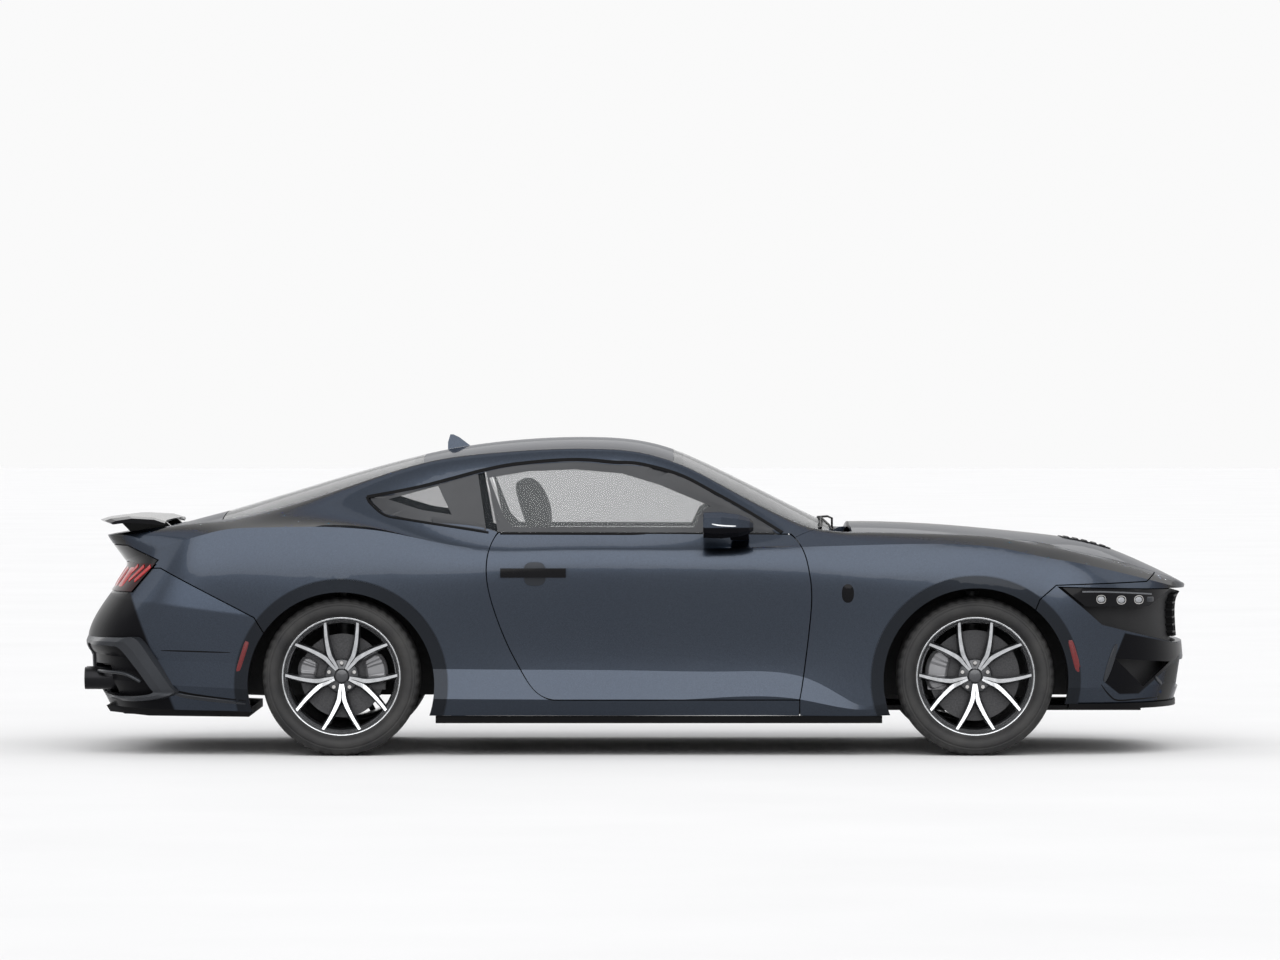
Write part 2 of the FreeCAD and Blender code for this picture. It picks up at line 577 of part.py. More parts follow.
# Frames just inside the ditch line, which the roof, the glass and the hood sit on.
rail_ring = ditch_prism(size("seat_gap")).cut(ditch_prism(size("flange_width")))
glass_seat = size("glass_depth") + size("seat_gap")
roof_seat = size("roof_depth") + size("seat_gap")
frame_depth = roof_seat + size("flange_depth")
frame_start = size("deck_front_x")
frame_end = size("windshield_base_x") - overrun / 2
frame_slab = top_slab(False, frame_start, frame_end, frame_depth, glass_seat)
header_bands = [band(size("header_x") - size("flange_width"), size("header_x") + size("flange_width")),
                band(size("roof_rear_x") - size("flange_width"), size("roof_rear_x") + size("flange_width")),
                band(frame_start, frame_start + size("flange_width"))]
headers = [one.common(roof_outline) for one in header_bands]
roof_space = top_slab(False, size("roof_rear_x") - size("seat_gap"), size("header_x") + size("seat_gap"),
                      roof_seat, -overrun)
cabin_frame = frame_slab.common(rail_ring.fuse(headers)).cut(roof_space)
hood_seat = size("hood_depth") + size("seat_gap")
front_frame = top_slab(True, size("cowl_front_x") + gap, half_length * 0.962, hood_seat + size("flange_depth"),
                       hood_seat)
front_frame = front_frame.common(rail_ring)
side_space = side_slab(-size("panel_gap"), skin_depth + size("seat_gap"))
boot_frame = top_slab(False, -half_length * 0.956, size("deck_front_x") + size("flange_width"),
                      hood_seat + size("flange_depth"), hood_seat)
boot_frame = boot_frame.common(rail_ring.fuse(headers[2])).cut(side_space).cut(mirrored(side_space))
boot_frame = boot_frame.cut(frame_slab)
keep("body_frame", Part.Compound(cabin_frame.Solids + front_frame.Solids + [main_piece(boot_frame)]))
print("panels done")

# Front bumper: the wide nose opening, the two side intakes and the low intake are cut through.
intake_inner_y_share = 0.56
side_intake_inner_y = -intake_inner_y_share * half_width
low_intake_inner_y = -(intake_inner_y_share - 0.08) * half_width
side_intake = grown_prism(side_intake_shares, 0).common(
    block((0, near_side, 0), (half_length + overrun, side_intake_inner_y, height)))
low_intake = grown_prism(lower_intake_shares, 0).common(
    block((0, low_intake_inner_y, 0), (half_length + overrun, overrun, height)))
nose_opening = grown_prism(nose_opening_shares, 0)
bumper_front = main_piece(cut_by(bumper_front, [nose_opening, side_intake, low_intake]))
keep("front_bumper", both_sides(bumper_front))
pipe_radius = size("tailpipe_radius")
slot_half = pipe_radius + size("tailpipe_margin")
pipe_slot = Part.makeBox(half_length * 0.2, 2 * slot_half + 2 * pipe_radius + gap, 2 * slot_half, Vector(
    -half_length * 1.1, -size("tailpipe_y") - 2 * pipe_radius - gap - slot_half, size("tailpipe_z") - slot_half))
long_edges = [edge for edge in pipe_slot.Edges if abs(edge.tangentAt(edge.FirstParameter).x) > 0.9]
pipe_slot = pipe_slot.makeFillet(slot_half * 0.4, long_edges)
bumper_rear = main_piece(bumper_rear).cut(pipe_slot)
keep("rear_bumper", both_sides(main_piece(bumper_rear)))
keep("tail_panel", both_sides(main_piece(tail_band)))

# Behind the openings: the dark panel that carries the lamps and the grilles.
nose_depth = size("nose_panel_set")
nose_lap = size("nose_panel_lap")
tray_back = side_slab(skin_depth + size("seat_gap"), nose_depth + size("nose_panel_depth"), side_strips[:3])
tray_space = side_slab(skin_depth / 2, nose_depth, side_strips[:3])


def tray_parts(corners, low_y, high_y):
    # The outside and the hollow of the dark tray behind one opening, between two places across the car.
    inside = tray_space.common(grown_prism(corners, -size("seat_gap"))).common(
        block((0, low_y + size("seat_gap"), 0), (half_length + overrun, high_y - size("seat_gap"), height)))
    outside = tray_back.common(grown_prism(corners, nose_lap)).common(
        block((0, low_y - nose_lap, 0), (half_length + overrun, high_y + nose_lap, height)))
    return main_piece(outside), main_piece(inside)


trays = []
for corners, low_y in ((nose_opening_shares, near_side), (lower_intake_shares, low_intake_inner_y)):
    outside, inside = tray_parts(corners, low_y, overrun)
    trays.append(both_sides(main_piece(outside.cut(both_sides(inside)))))
outside, inside = tray_parts(side_intake_shares, near_side, side_intake_inner_y)
keep("front_trays", Part.Compound(trays + with_mirror([main_piece(outside.cut(inside))]).Solids))

# Splitter, skirts and diffuser run round the bottom as level plates.
def plan_plate(name, reach, low_z, depth, start, end):
    # A level plate whose edge follows one line as seen from above, moved out by a reach.
    right = []
    for i, point in enumerate(lines[name]):
        place = point - inward(name, i) * reach
        right.append(Vector(place.x, -place.y, low_z))
    curve = Part.BSplineCurve()
    curve.interpolate(Points=right, Parameters=[float(i) for i in range(len(right))])
    back = Part.LineSegment(right[-1], right[0]).toShape()
    plate = Part.Face(Part.Wire([curve.toShape(), back])).extrude(Vector(0, 0, depth))
    return plate.common(band(start, end))


splitter = plan_plate("sill", size("splitter_reach"), size("splitter_floor"), size("splitter_depth"),
                      front_axle_x + size("front_arch_radius") + gap, half_length)
splitter = splitter.common(block((0, -half_width - overrun, 0), (half_length, 0, height)))
splitter_hole = plan_plate("sill", -size("splitter_width"), 0, height,
                           front_axle_x, half_length - size("splitter_width"))
keep("front_splitter", both_sides(splitter.cut(splitter_hole)))
skirt = plan_plate("sill", 0, size("skirt_floor"), size("skirt_depth"),
                   rear_axle_x + size("rear_arch_radius") + gap, front_axle_x - size("front_arch_radius") - gap)
skirt_hole = plan_plate("sill", -size("skirt_width"), 0, height, rear_axle_x, front_axle_x)
keep("side_skirts", with_mirror([main_piece(skirt.cut(skirt_hole))]))
print("bumpers done")


def loft_between(profiles):
    # A solid through several closed straight-sided outlines.
    wires = [Part.makePolygon([Vector(*corner) for corner in profile + profile[:1]]) for profile in profiles]
    return Part.makeLoft(wires, True, True)


# Rear wing: a blade with turned-down ends on two pedestals, fixed to the deck lid.
chord = size("wing_chord")
wing_depth = size("wing_depth")
wing_tip_x = -size("wing_reach")
blade_top_z = size("wing_height")
end_y = size("wing_half_span")
blade_side = [(0, 0.10), (0.10, 0.55), (0.40, 1.00), (0.80, 0.75), (1.00, 0.05), (0.98, -0.35),
              (0.60, 0), (0.30, 0.12), (0.04, -0.20)]


def wing_section(y, set_forward, drop, scale):
    return [(wing_tip_x + set_forward + along * chord * scale, y, blade_top_z - drop - wing_depth
             + up * wing_depth) for along, up in blade_side]


wing_stations = [(-1, 0.26, 0.5, 0.78), (-0.93, 0.16, 0.1, 0.88), (-0.6, 0.04, 0, 0.97), (0, 0, 0, 1),
                 (0.6, 0.04, 0, 0.97), (0.93, 0.16, 0.1, 0.88), (1, 0.26, 0.5, 0.78)]
blade = loft_between([wing_section(share * end_y, forward * chord, drop * wing_depth, scale)
                      for share, forward, drop, scale in wing_stations])
pedestal_y = size("wing_pedestal_y")
pedestal_width = size("wing_pedestal_width")
pedestals = []
for sign in (-1, 1):
    y = sign * pedestal_y
    low_x, high_x = wing_tip_x + chord * 0.30, wing_tip_x + chord * 0.95
    foot_front, foot_rear = high_x + chord * 0.14, low_x + chord * 0.20
    profile = [(low_x, y - pedestal_width / 2, blade_top_z - wing_depth * 0.8),
               (high_x, y - pedestal_width / 2, blade_top_z - wing_depth * 0.8),
               (foot_front, y - pedestal_width / 2, top_z(foot_front, y, False) - gap / 2),
               (foot_rear, y - pedestal_width / 2, top_z(foot_rear, y, False) - gap / 2)]
    side_face = Part.Face(Part.makePolygon([Vector(*corner) for corner in profile + profile[:1]]))
    pedestals.append(side_face.extrude(Vector(0, pedestal_width, 0)))
wing = blade.fuse(pedestals)
wing = wing.cut(top_slab(False, -half_length * 0.98, size("deck_front_x"), height / 2, -size("seat_gap")))
keep("rear_wing", main_piece(wing))

# Diffuser with two pairs of tailpipes below the rear bumper.
diffuser_side_shares = [(-0.957, 0.149), (-0.728, 0.140), (-0.700, 0.138), (-0.700, 0.112), (-0.880, 0.116),
                        (-0.950, 0.130)]
diffuser_half = size("diffuser_half_width")
diffuser_face = Part.Face(Part.makePolygon(
    [Vector(along * half_length, -diffuser_half, up * height)
     for along, up in diffuser_side_shares + diffuser_side_shares[:1]]))
diffuser = diffuser_face.extrude(Vector(0, 2 * diffuser_half, 0))
fin_count = 5
for i in range(fin_count):
    y = diffuser_half * (i - (fin_count - 1) / 2) / fin_count
    fin_face = Part.Face(Part.makePolygon([
        Vector(along * half_length, y, up * height)
        for along, up in [(-0.950, 0.135), (-0.800, 0.122), (-0.800, 0.104), (-0.935, 0.112),
                          (-0.950, 0.135)]]))
    diffuser = diffuser.fuse(fin_face.extrude(Vector(0, size("diffuser_fin"), 0)))
for sign in (-1, 1):
    hanger_y = sign * diffuser_half * 0.4
    diffuser = diffuser.fuse(block(
        (-half_length * 0.80, hanger_y, 0.136 * height),
        (-half_length * 0.78, hanger_y + size("diffuser_fin"), size("boot_floor") - size("seat_gap"))))
keep("rear_diffuser", diffuser)
pipes = []
pipe_start_x = -half_length * 0.992
for sign in (-1, 1):
    middle_y = sign * (size("tailpipe_y") + pipe_radius + gap / 2)
    muffler_x = pipe_start_x + size("tailpipe_length") * 0.9
    muffler = block((muffler_x, middle_y - 2 * pipe_radius, size("tailpipe_z") - pipe_radius),
                    (muffler_x + 2 * size("tailpipe_length"), middle_y + 2 * pipe_radius,
                     size("boot_floor") - size("seat_gap")))
    for place in (0, 1):
        y = sign * (size("tailpipe_y") + place * (2 * pipe_radius + gap))
        start = (pipe_start_x, y, size("tailpipe_z"))
        muffler = muffler.fuse(drum(pipe_radius, start, size("tailpipe_length"), (1, 0, 0)))
        muffler = muffler.cut(drum(pipe_radius - size("tailpipe_wall"), start,
                                   size("tailpipe_length") * 0.8, (1, 0, 0)))
    pipes.append(muffler)
keep("tailpipes", Part.Compound(pipes))

# Lamps: the head lamps fill the corners of the nose opening, the tail lamps the band at the back.
headlamp_side_shares = [(0.757, 0.529), (0.958, 0.519), (0.915, 0.468), (0.798, 0.470)]
lamp_inner_y = size("headlamp_inner_y")
headlamp = side_slab(size("lamp_set"), nose_depth - size("seat_gap"), side_strips[2:3])
headlamp = headlamp.common(grown_prism(headlamp_side_shares, 0)).common(
    block((0, near_side, 0), (half_length, -lamp_inner_y, height)))
keep("headlamps", with_mirror([main_piece(headlamp)]))
bar_count = 6
opening_floor, opening_top = 0.366 * height, 0.505 * height
lattice = []
for i in range(bar_count):
    z = opening_floor + (opening_top - opening_floor) * (i + 0.5) / bar_count
    lattice.append(block((half_length * 0.8, near_side, z),
                         (half_length + overrun, overrun, z + size("grille_bar"))))
upright_count = 9
for i in range(upright_count):
    y = -(lamp_inner_y - 2 * gap) * (i + 0.5) / upright_count
    lattice.append(block((half_length * 0.8, y, opening_floor),
                         (half_length + overrun, y + size("grille_bar"), opening_top)))
lattice = lattice[0].multiFuse(lattice[1:])
grille = side_slab(size("grille_set"), nose_depth - size("seat_gap"), side_strips[2:3])
grille = grille.common(grown_prism(nose_opening_shares, -gap)).common(
    block((0, -lamp_inner_y + gap, 0), (half_length + overrun, overrun, height)))
grille = main_piece(grille.common(lattice))
keep("upper_grille", both_sides(grille))
tail_lamp = side_slab(-size("tail_lamp_proud"), -size("seat_gap"), side_strips[2:3])
tail_lamp_shares = [(-0.905, 0.515), (-0.861, 0.604), (-0.918, 0.604), (-1.2, 0.604), (-1.2, 0.515)]
tail_lamp_inner_y = size("tail_lamp_inner_y")
tail_lamp = tail_lamp.common(grown_prism(tail_lamp_shares, 0)).common(
    block((-half_length - overrun, near_side, 0), (0, -tail_lamp_inner_y, height)))
keep("tail_lamps", with_mirror([main_piece(tail_lamp)]))
print("lamps done")


# From here on the pieces are simple enough to be bound to the sheet directly.
AXLE_FRONT = "(Sizes.overall_length / 2 - Sizes.front_overhang)"
AXLE_REAR = "(Sizes.overall_length / 2 - Sizes.front_overhang - Sizes.wheelbase)"


def box_between(name, low, high):
    # A box whose low and high corners are formulas on the sheet.
    feature = doc.addObject("Part::Box", name)
    for span, start, end in zip(("Length", "Width", "Height"), low, high):
        feature.setExpression(span, f"({end}) - ({start})")
    for axis, start in zip("xyz", low):
        feature.setExpression(f"Placement.Base.{axis}", start)
    return feature


def cylinder_at(name, radius, span, start, turn=None):
    # A cylinder along Z from its start, or turned about X to lie along -Y, or about Y to lie along X.
    feature = doc.addObject("Part::Cylinder", name)
    feature.setExpression("Radius", radius)
    feature.setExpression("Height", span)
    if turn == "across":
        feature.Placement = FreeCAD.Placement(Vector(0, 0, 0), Rotation(Vector(1, 0, 0), -90))
    if turn == "along":
        feature.Placement = FreeCAD.Placement(Vector(0, 0, 0), Rotation(Vector(0, 1, 0), 90))
    for axis, place in zip("xyz", start):
        feature.setExpression(f"Placement.Base.{axis}", place)
    return feature


def joined(name, features):
    fuse = doc.addObject("Part::MultiFuse", name)
    fuse.Label = name
    fuse.Shapes = features
    return fuse


def without(name, base, tool):
    cut = doc.addObject("Part::Cut", name)
    cut.Label = name
    cut.Base = base
    cut.Tool = tool
    return cut


def mirror_of(name, source):
    twin = doc.addObject("Part::Mirroring", name)
    twin.Label = name
    twin.Source = source
    twin.Normal = Vector(0, 1, 0)
    return twin


def draw_outline(body, name, plane_role, corners):
    # A straight-sided sketch on one of the body's planes; every corner is bound to the sheet.
    sketch = body.newObject("Sketcher::SketchObject", name)
    plane = [part for part in body.Origin.OriginFeatures if part.Role == plane_role][0]
    sketch.AttachmentSupport = (plane, [""])
    sketch.MapMode = "FlatFace"
    places = [(float(sketch.evalExpression(a)), float(sketch.evalExpression(b))) for a, b in corners]
    for i, place in enumerate(places):
        after = places[(i + 1) % len(places)]
        sketch.addGeometry(Part.LineSegment(Vector(*place, 0), Vector(*after, 0)))
    for i in range(len(places)):
        sketch.addConstraint(Sketcher.Constraint("Coincident", i, 2, (i + 1) % len(places), 1))
    for i, (formulas, place) in enumerate(zip(corners, places)):
        for kind, formula, value, axis in (("DistanceX", formulas[0], place[0], -2),
                                           ("DistanceY", formulas[1], place[1], -1)):
            if abs(value) < 1e-9:
                sketch.addConstraint(Sketcher.Constraint("PointOnObject", i, 1, axis))
            else:
                index = sketch.addConstraint(Sketcher.Constraint(kind, -1, 1, i, 1, value))
                sketch.setExpression(f"Constraints[{index}]", formula)
    return sketch


def turned_body(name, corners):
    # A PartDesign body turned about the wheel axis, from (radius, outward) corners.
    body = doc.addObject("PartDesign::Body", name)
    body.Label = name
    sketch = draw_outline(body, name + "_profile", "XY_Plane", corners)
    turned = body.newObject("PartDesign::Revolution", name + "_turned")
    turned.Profile = sketch
    turned.ReferenceAxis = (sketch, ["V_Axis"])
    turned.Angle = 360
    body.Tip = turned
    return body


def place_wheel_part(feature, axle, track):
    feature.setExpression("Placement.Base.x", axle)
    feature.setExpression("Placement.Base.y", f"-Sizes.{track} / 2")
    feature.setExpression("Placement.Base.z", "Sizes.tyre_radius")


tyre_profile_shares = [("0.345", "0"), ("0.345", "0.16"), ("0.45", "0.24"), ("0.50", "0.42"),
                       ("0.49", "0.64"), ("0.455", "0.87"), ("0.40", "0.965"), ("0.20", "0.995"), ("0", "1")]


def tyre_corners(width):
    wall = "(Sizes.tyre_radius - Sizes.rim_seat_radius)"
    corners = []
    for across, up in tyre_profile_shares:
        corners.append((f"Sizes.rim_seat_radius + {up} * {wall}", f"-{across} * Sizes.{width}"))
    for across, up in reversed(tyre_profile_shares[:-1]):
        corners.append((f"Sizes.rim_seat_radius + {up} * {wall}", f"{across} * Sizes.{width}"))
    return corners


def rim_corners(width):
    # Barrel with two flanges that hold the tyre's beads; outward is negative on the right-hand side.
    seat, flange, wall = "Sizes.rim_seat_radius - Sizes.seat_gap", "Sizes.rim_flange_radius", "Sizes.rim_wall"
    bead = f"(0.345 * Sizes.{width} + Sizes.seat_gap)"
    edge = f"({bead} + {wall} / 2)"
    return [(flange, f"-{edge}"), (flange, f"-{bead}"), (seat, f"-{bead}"), (seat, bead),
            (flange, bead), (flange, edge),
            (f"{flange} - 1.6 * {wall}", edge), (f"{seat} - 2 * {wall}", f"{edge} - 4 * {wall}"),
            (f"{seat} - 2 * {wall}", f"-({edge} - 4 * {wall})"), (f"{flange} - 1.6 * {wall}", f"-{edge}")]


def spoke_prism(width):
    # Five Y-shaped spokes as seen from the side, from the hub out into the barrel.
    reach = size("rim_seat_radius") - size("rim_wall")
    half = size("spoke_width") / 2
    root = size("hub_radius") * 0.9
    split_share = 0.44
    arms = []
    for i in range(5):
        middle = math.radians(-90 + 72 * i)
        for turn in (-1, 1):
            tip = middle + turn * math.radians(19.3)
            start = Vector(math.cos(middle), 0, math.sin(middle)) * root
            start += Vector(-math.sin(middle), 0, math.cos(middle)) * (turn * half * 0.75)
            knee = Vector(math.cos(middle), 0, math.sin(middle)) * (reach * split_share)
            knee += Vector(-math.sin(middle), 0, math.cos(middle)) * (turn * half * 1.1)
            end = Vector(math.cos(tip), 0, math.sin(tip)) * reach
            for near, far, near_half, far_half in ((start, knee, half * 0.85, half * 0.62),
                                                   (knee, end, half * 0.62, half * 0.36)):
                along = (far - near).normalize()
                out = Vector(-along.z, 0, along.x)
                corners = [near + out * near_half, far + out * far_half, far - out * far_half,
                           near - out * near_half]
                arms.append(Part.Face(Part.makePolygon(corners + corners[:1])).extrude(Vector(0, -width, 0)))
    return arms


def rim_shape(barrel, width):
    edge = 0.345 * width + size("seat_gap") + size("rim_wall") / 2
    depth = size("spoke_depth")
    face_y = -(edge - 2 * size("rim_wall"))
    hub_y = -size("hub_face_set")
    arms = spoke_prism(width)
    # The spokes' section seen from above: their faces run from the flange in to the hub.
    reach = size("rim_seat_radius")
    section = [Vector(0, hub_y, 0), Vector(size("hub_radius"), hub_y, 0), Vector(reach, face_y, 0),
               Vector(reach, face_y + depth * 0.8, 0), Vector(size("hub_radius"), hub_y + depth * 1.5, 0),
               Vector(0, hub_y + depth * 1.5, 0)]
    dish = Part.Face(Part.makePolygon(section + section[:1])).revolve(Vector(0, 0, 0), Vector(0, 1, 0), 360)
    spokes = arms[0].multiFuse(arms[1:]).common(dish)
    hub = drum(size("hub_radius"), (0, hub_y, 0), depth * 1.5)
    wheel = barrel.fuse([spokes, hub])
    bore_radius = size("spindle_radius") + size("spindle_clearance")
    bore = drum(bore_radius, (0, hub_y - overrun, 0), 2 * overrun + depth)
    cuts = [bore.common(block((-overrun, hub_y + depth / 2, -overrun), (overrun, overrun, overrun)))]
    for i in range(5):
        angle = math.radians(90 + 72 * i)
        x = size("lug_circle_radius") * math.cos(angle)
        z = size("lug_circle_radius") * math.sin(angle)
        cuts.append(drum(size("lug_hole_radius"), (x, hub_y - overrun, z), overrun + depth / 2))
    return wheel.cut(cuts)


def disc_corners(radius):
    thick, inset, hat = "Sizes.disc_thickness", "Sizes.disc_inset", "Sizes.disc_hat_radius"
    bore = "Sizes.spindle_radius + Sizes.spindle_clearance"
    front = "-Sizes.hub_face_set + 1.5 * Sizes.spoke_depth + Sizes.seat_gap"
    return [(bore, front), (f"{hat} - {thick} / 2", front), (f"{hat} - {thick} / 2", inset),
            (f"Sizes.{radius}", inset), (f"Sizes.{radius}", f"{inset} + {thick}"),
            (hat, f"{inset} + {thick}"), (bore, f"{inset} + {thick}")]


def keep_feature(feature, label):
    feature.Label = label
    nodes.append(feature)


for end, axle, track in (("front", AXLE_FRONT, "front_track"), ("rear", AXLE_REAR, "rear_track")):
    width = f"tyre_{end}_width"
    tyre = turned_body(f"tyre_{end}_right", tyre_corners(width))
    barrel = turned_body(f"barrel_{end}", rim_corners(width))
    disc = turned_body(f"brake_disc_{end}_right", disc_corners(f"disc_{end}_radius"))
    doc.recompute()
    rim = doc.addObject("Part::Feature", f"rim_{end}_right")
    rim.Shape = rim_shape(barrel.Shape, size(width))
    for feature, kind in ((tyre, "tyre"), (rim, "rim"), (disc, "brake_disc")):
        place_wheel_part(feature, axle, track)
        keep_feature(feature, f"{kind}_{end}_right")
        keep_feature(mirror_of(f"{kind}_{end}_left", feature), f"{kind}_{end}_left")
doc.recompute()
print("wheels done")


# Knuckles: a block on the steering axis, the spindle that carries the wheel, and the brake caliper.
KING = "Sizes.kingpin_set"
BLOCK = "Sizes.knuckle_size"


def knuckle(end, axle, track, disc_radius, caliper_side):
    y_wheel = f"(-Sizes.{track} / 2)"
    name = f"knuckle_{end}_right"
    block_part = box_between(
        name + "_block",
        (f"{axle} - {BLOCK} / 2", f"{y_wheel} + {KING} - {BLOCK} / 4", f"Sizes.tyre_radius - {BLOCK}"),
        (f"{axle} + {BLOCK} / 2", f"{y_wheel} + {KING} + {BLOCK} / 4", f"Sizes.tyre_radius + {BLOCK}"))
    spindle_start = "-Sizes.hub_face_set + Sizes.spoke_depth / 2 + Sizes.spindle_clearance"
    spindle = cylinder_at(
        name + "_spindle", "Sizes.spindle_radius", f"{KING} - ({spindle_start})",
        (axle, f"{y_wheel} + {spindle_start}", "Sizes.tyre_radius"), "across")
    reach = f"(Sizes.{disc_radius} + Sizes.disc_thickness / 6)"
    far, near = ("-1", "-0.60") if caliper_side < 0 else ("0.60", "1")
    low_y = f"{y_wheel} + Sizes.disc_inset - Sizes.caliper_depth / 4"
    high_y = f"{y_wheel} + Sizes.disc_inset + Sizes.disc_thickness + Sizes.caliper_depth / 4"
    caliper = box_between(
        name + "_caliper",
        (f"{axle} + {far} * {reach}", low_y, f"Sizes.tyre_radius - Sizes.caliper_depth"),
        (f"{axle} + {near} * {reach}", high_y, f"Sizes.tyre_radius + Sizes.caliper_depth"))
    bracket = box_between(
        name + "_bracket",
        (f"{axle} + {far if caliper_side < 0 else '0'} * {reach} * 0.9", f"{high_y} - Sizes.flange_depth / 2",
         f"Sizes.tyre_radius - Sizes.caliper_depth / 2"),
        (f"{axle} + {near if caliper_side > 0 else '0'} * {reach} * 0.9", f"{high_y} + Sizes.flange_depth",
         f"Sizes.tyre_radius + Sizes.caliper_depth / 2"))
    slot = cylinder_at(
        name + "_slot", f"{reach} + Sizes.disc_thickness / 6",
        "Sizes.disc_thickness + Sizes.disc_thickness / 3",
        (axle, f"{y_wheel} + Sizes.disc_inset - Sizes.disc_thickness / 6", "Sizes.tyre_radius"), "across")
    clamp = without(name + "_clamp", caliper, slot)
    return joined(name, [block_part, spindle, clamp, bracket])


def bent_arm(name, axle, track, level):
    # A bar from the wheel house wall out to the top or the foot of the knuckle.
    half = "Sizes.arm_width / 2"
    y_axis = f"(-Sizes.{track} / 2 + {KING})"
    low_z = {"top": f"Sizes.tyre_radius + {BLOCK} + Sizes.seat_gap",
             "foot": f"Sizes.tyre_radius - {BLOCK} - Sizes.seat_gap - Sizes.arm_width"}[level]
    bar = box_between(name + "_bar", (f"{axle} - {half}", y_axis, low_z),
                      (f"{axle} + {half}", "-Sizes.liner_inner_wall_y - Sizes.seat_gap",
                       f"{low_z} + Sizes.arm_width"))
    eye = cylinder_at(name + "_eye", half, "Sizes.arm_width", (axle, y_axis, low_z))
    return [bar, eye]


def strut(name, axle, track):
    y_strut = "(-Sizes.liner_inner_wall_y - Sizes.seat_gap - 1.25 * Sizes.strut_radius)"
    low = f"Sizes.tyre_radius + {BLOCK} + Sizes.seat_gap"
    tower = "Sizes.tyre_radius + Sizes.front_arch_radius - 4 * Sizes.liner_wall - Sizes.front_arch_drop"
    spring = cylinder_at(name, "Sizes.strut_radius", f"{tower} - ({low})", (axle, y_strut, low))
    return [spring]


knuckle_front = knuckle("front", AXLE_FRONT, "front_track", "disc_front_radius", -1)
keep_feature(knuckle_front, "knuckle_right")
keep_feature(mirror_of("knuckle_left", knuckle_front), "knuckle_left")
carrier = knuckle("rear", AXLE_REAR, "rear_track", "disc_rear_radius", 1)
running_gear = [carrier]
for end, axle, track in (("front", AXLE_FRONT, "front_track"), ("rear", AXLE_REAR, "rear_track")):
    links = bent_arm(f"{end}_top_arm", axle, track, "top") + bent_arm(f"{end}_foot_arm", axle, track, "foot")
    links += strut(f"{end}_strut", axle, track)
    running_gear.append(joined(f"{end}_links", links))
doc.recompute()
gear_shapes = [solid for feature in running_gear for solid in feature.Shape.Solids]
keep("suspension", with_mirror(gear_shapes))

# Wheel houses: a barrel over each wheel and a wall on its inner side, as one node per axle.
def wheel_house(axle_x, arch_drop):
    inner_y = size("liner_inner_wall_y")
    wall = size("liner_wall")
    radius = size("liner_radius")
    centre_z = size("tyre_radius") - arch_drop
    shell = drum(radius, (axle_x, -half_width, centre_z), half_width - inner_y + wall)
    hollow = drum(radius - wall, (axle_x, -half_width - gap, centre_z), half_width - inner_y + gap)
    shell = shell.cut(hollow)
    floor_z = 0.180 * height
    return shell.cut(block((axle_x - 2 * radius, -half_width - gap, -radius),
                           (axle_x + 2 * radius, 0, floor_z)))


houses = []
for end, axle_x in (("front", front_axle_x), ("rear", rear_axle_x)):
    houses.append(main_piece(wheel_house(axle_x, size(f"{end}_arch_drop")).cut(side_space)))
keep("wheel_houses", with_mirror(houses))

# Platform: floor, tunnel, sills, firewall, bulkhead, parcel shelf, boot floor and jacking pads.
CABIN = "(0.475 * Sizes.body_width - Sizes.sill_width)"
WALL = "(Sizes.liner_inner_wall_y - Sizes.liner_wall - Sizes.seat_gap)"
BACK = f"({AXLE_REAR} + Sizes.liner_radius)"
SHEET = "Sizes.floor_depth / 2"
floor = box_between("floor", (BACK, f"-{CABIN} - Sizes.sill_width", "Sizes.floor_bottom"),
                    (f"{AXLE_FRONT} - Sizes.liner_radius", f"{CABIN} + Sizes.sill_width",
                     "Sizes.floor_bottom + Sizes.floor_depth"))
boot_floor = box_between(
    "boot_floor", ("-0.90 * Sizes.overall_length / 2", f"-{WALL}", "Sizes.boot_floor"),
    (BACK, WALL, f"Sizes.boot_floor + {SHEET}"))
boot_end = box_between(
    "boot_end", ("-Sizes.overall_length / 2", "-0.47 * Sizes.body_width", "Sizes.boot_floor"),
    (f"{AXLE_REAR} - Sizes.liner_radius - Sizes.panel_gap", "0.47 * Sizes.body_width",
     f"Sizes.boot_floor + {SHEET}"))
kick = box_between(
    "kick_up", (BACK, f"-{CABIN}", "Sizes.floor_bottom"),
    (f"{BACK} + Sizes.firewall_depth", CABIN, f"Sizes.boot_floor + {SHEET}"))
bulkhead = box_between(
    "bulkhead", ("Sizes.bulkhead_x - Sizes.firewall_depth", f"-{WALL}", "Sizes.boot_floor"),
    ("Sizes.bulkhead_x", WALL, "Sizes.shelf_height"))
shelf = box_between(
    "parcel_shelf", ("Sizes.deck_front_x + Sizes.flange_width", "-0.36 * Sizes.body_width", "Sizes.shelf_height"),
    ("Sizes.bulkhead_x", "0.36 * Sizes.body_width", f"Sizes.shelf_height + {SHEET}"))
tunnel = box_between(
    "tunnel", (BACK, "-Sizes.tunnel_width / 2", "Sizes.floor_bottom"),
    ("Sizes.firewall_x", "Sizes.tunnel_width / 2", "Sizes.floor_bottom + Sizes.tunnel_height"))
firewall = box_between(
    "firewall", ("Sizes.firewall_x", f"-{CABIN}", "Sizes.floor_bottom"),
    ("Sizes.firewall_x + Sizes.firewall_depth", CABIN, f"{firewall_top_share} * Sizes.roof_height"))
cradle = box_between(
    "engine_cradle", ("Sizes.firewall_x", f"-{WALL}", "Sizes.floor_bottom"),
    ("0.91 * Sizes.overall_length / 2", WALL, f"Sizes.floor_bottom + {SHEET}"))
platform_parts = [floor, boot_floor, boot_end, kick, bulkhead, shelf, tunnel, firewall, cradle]
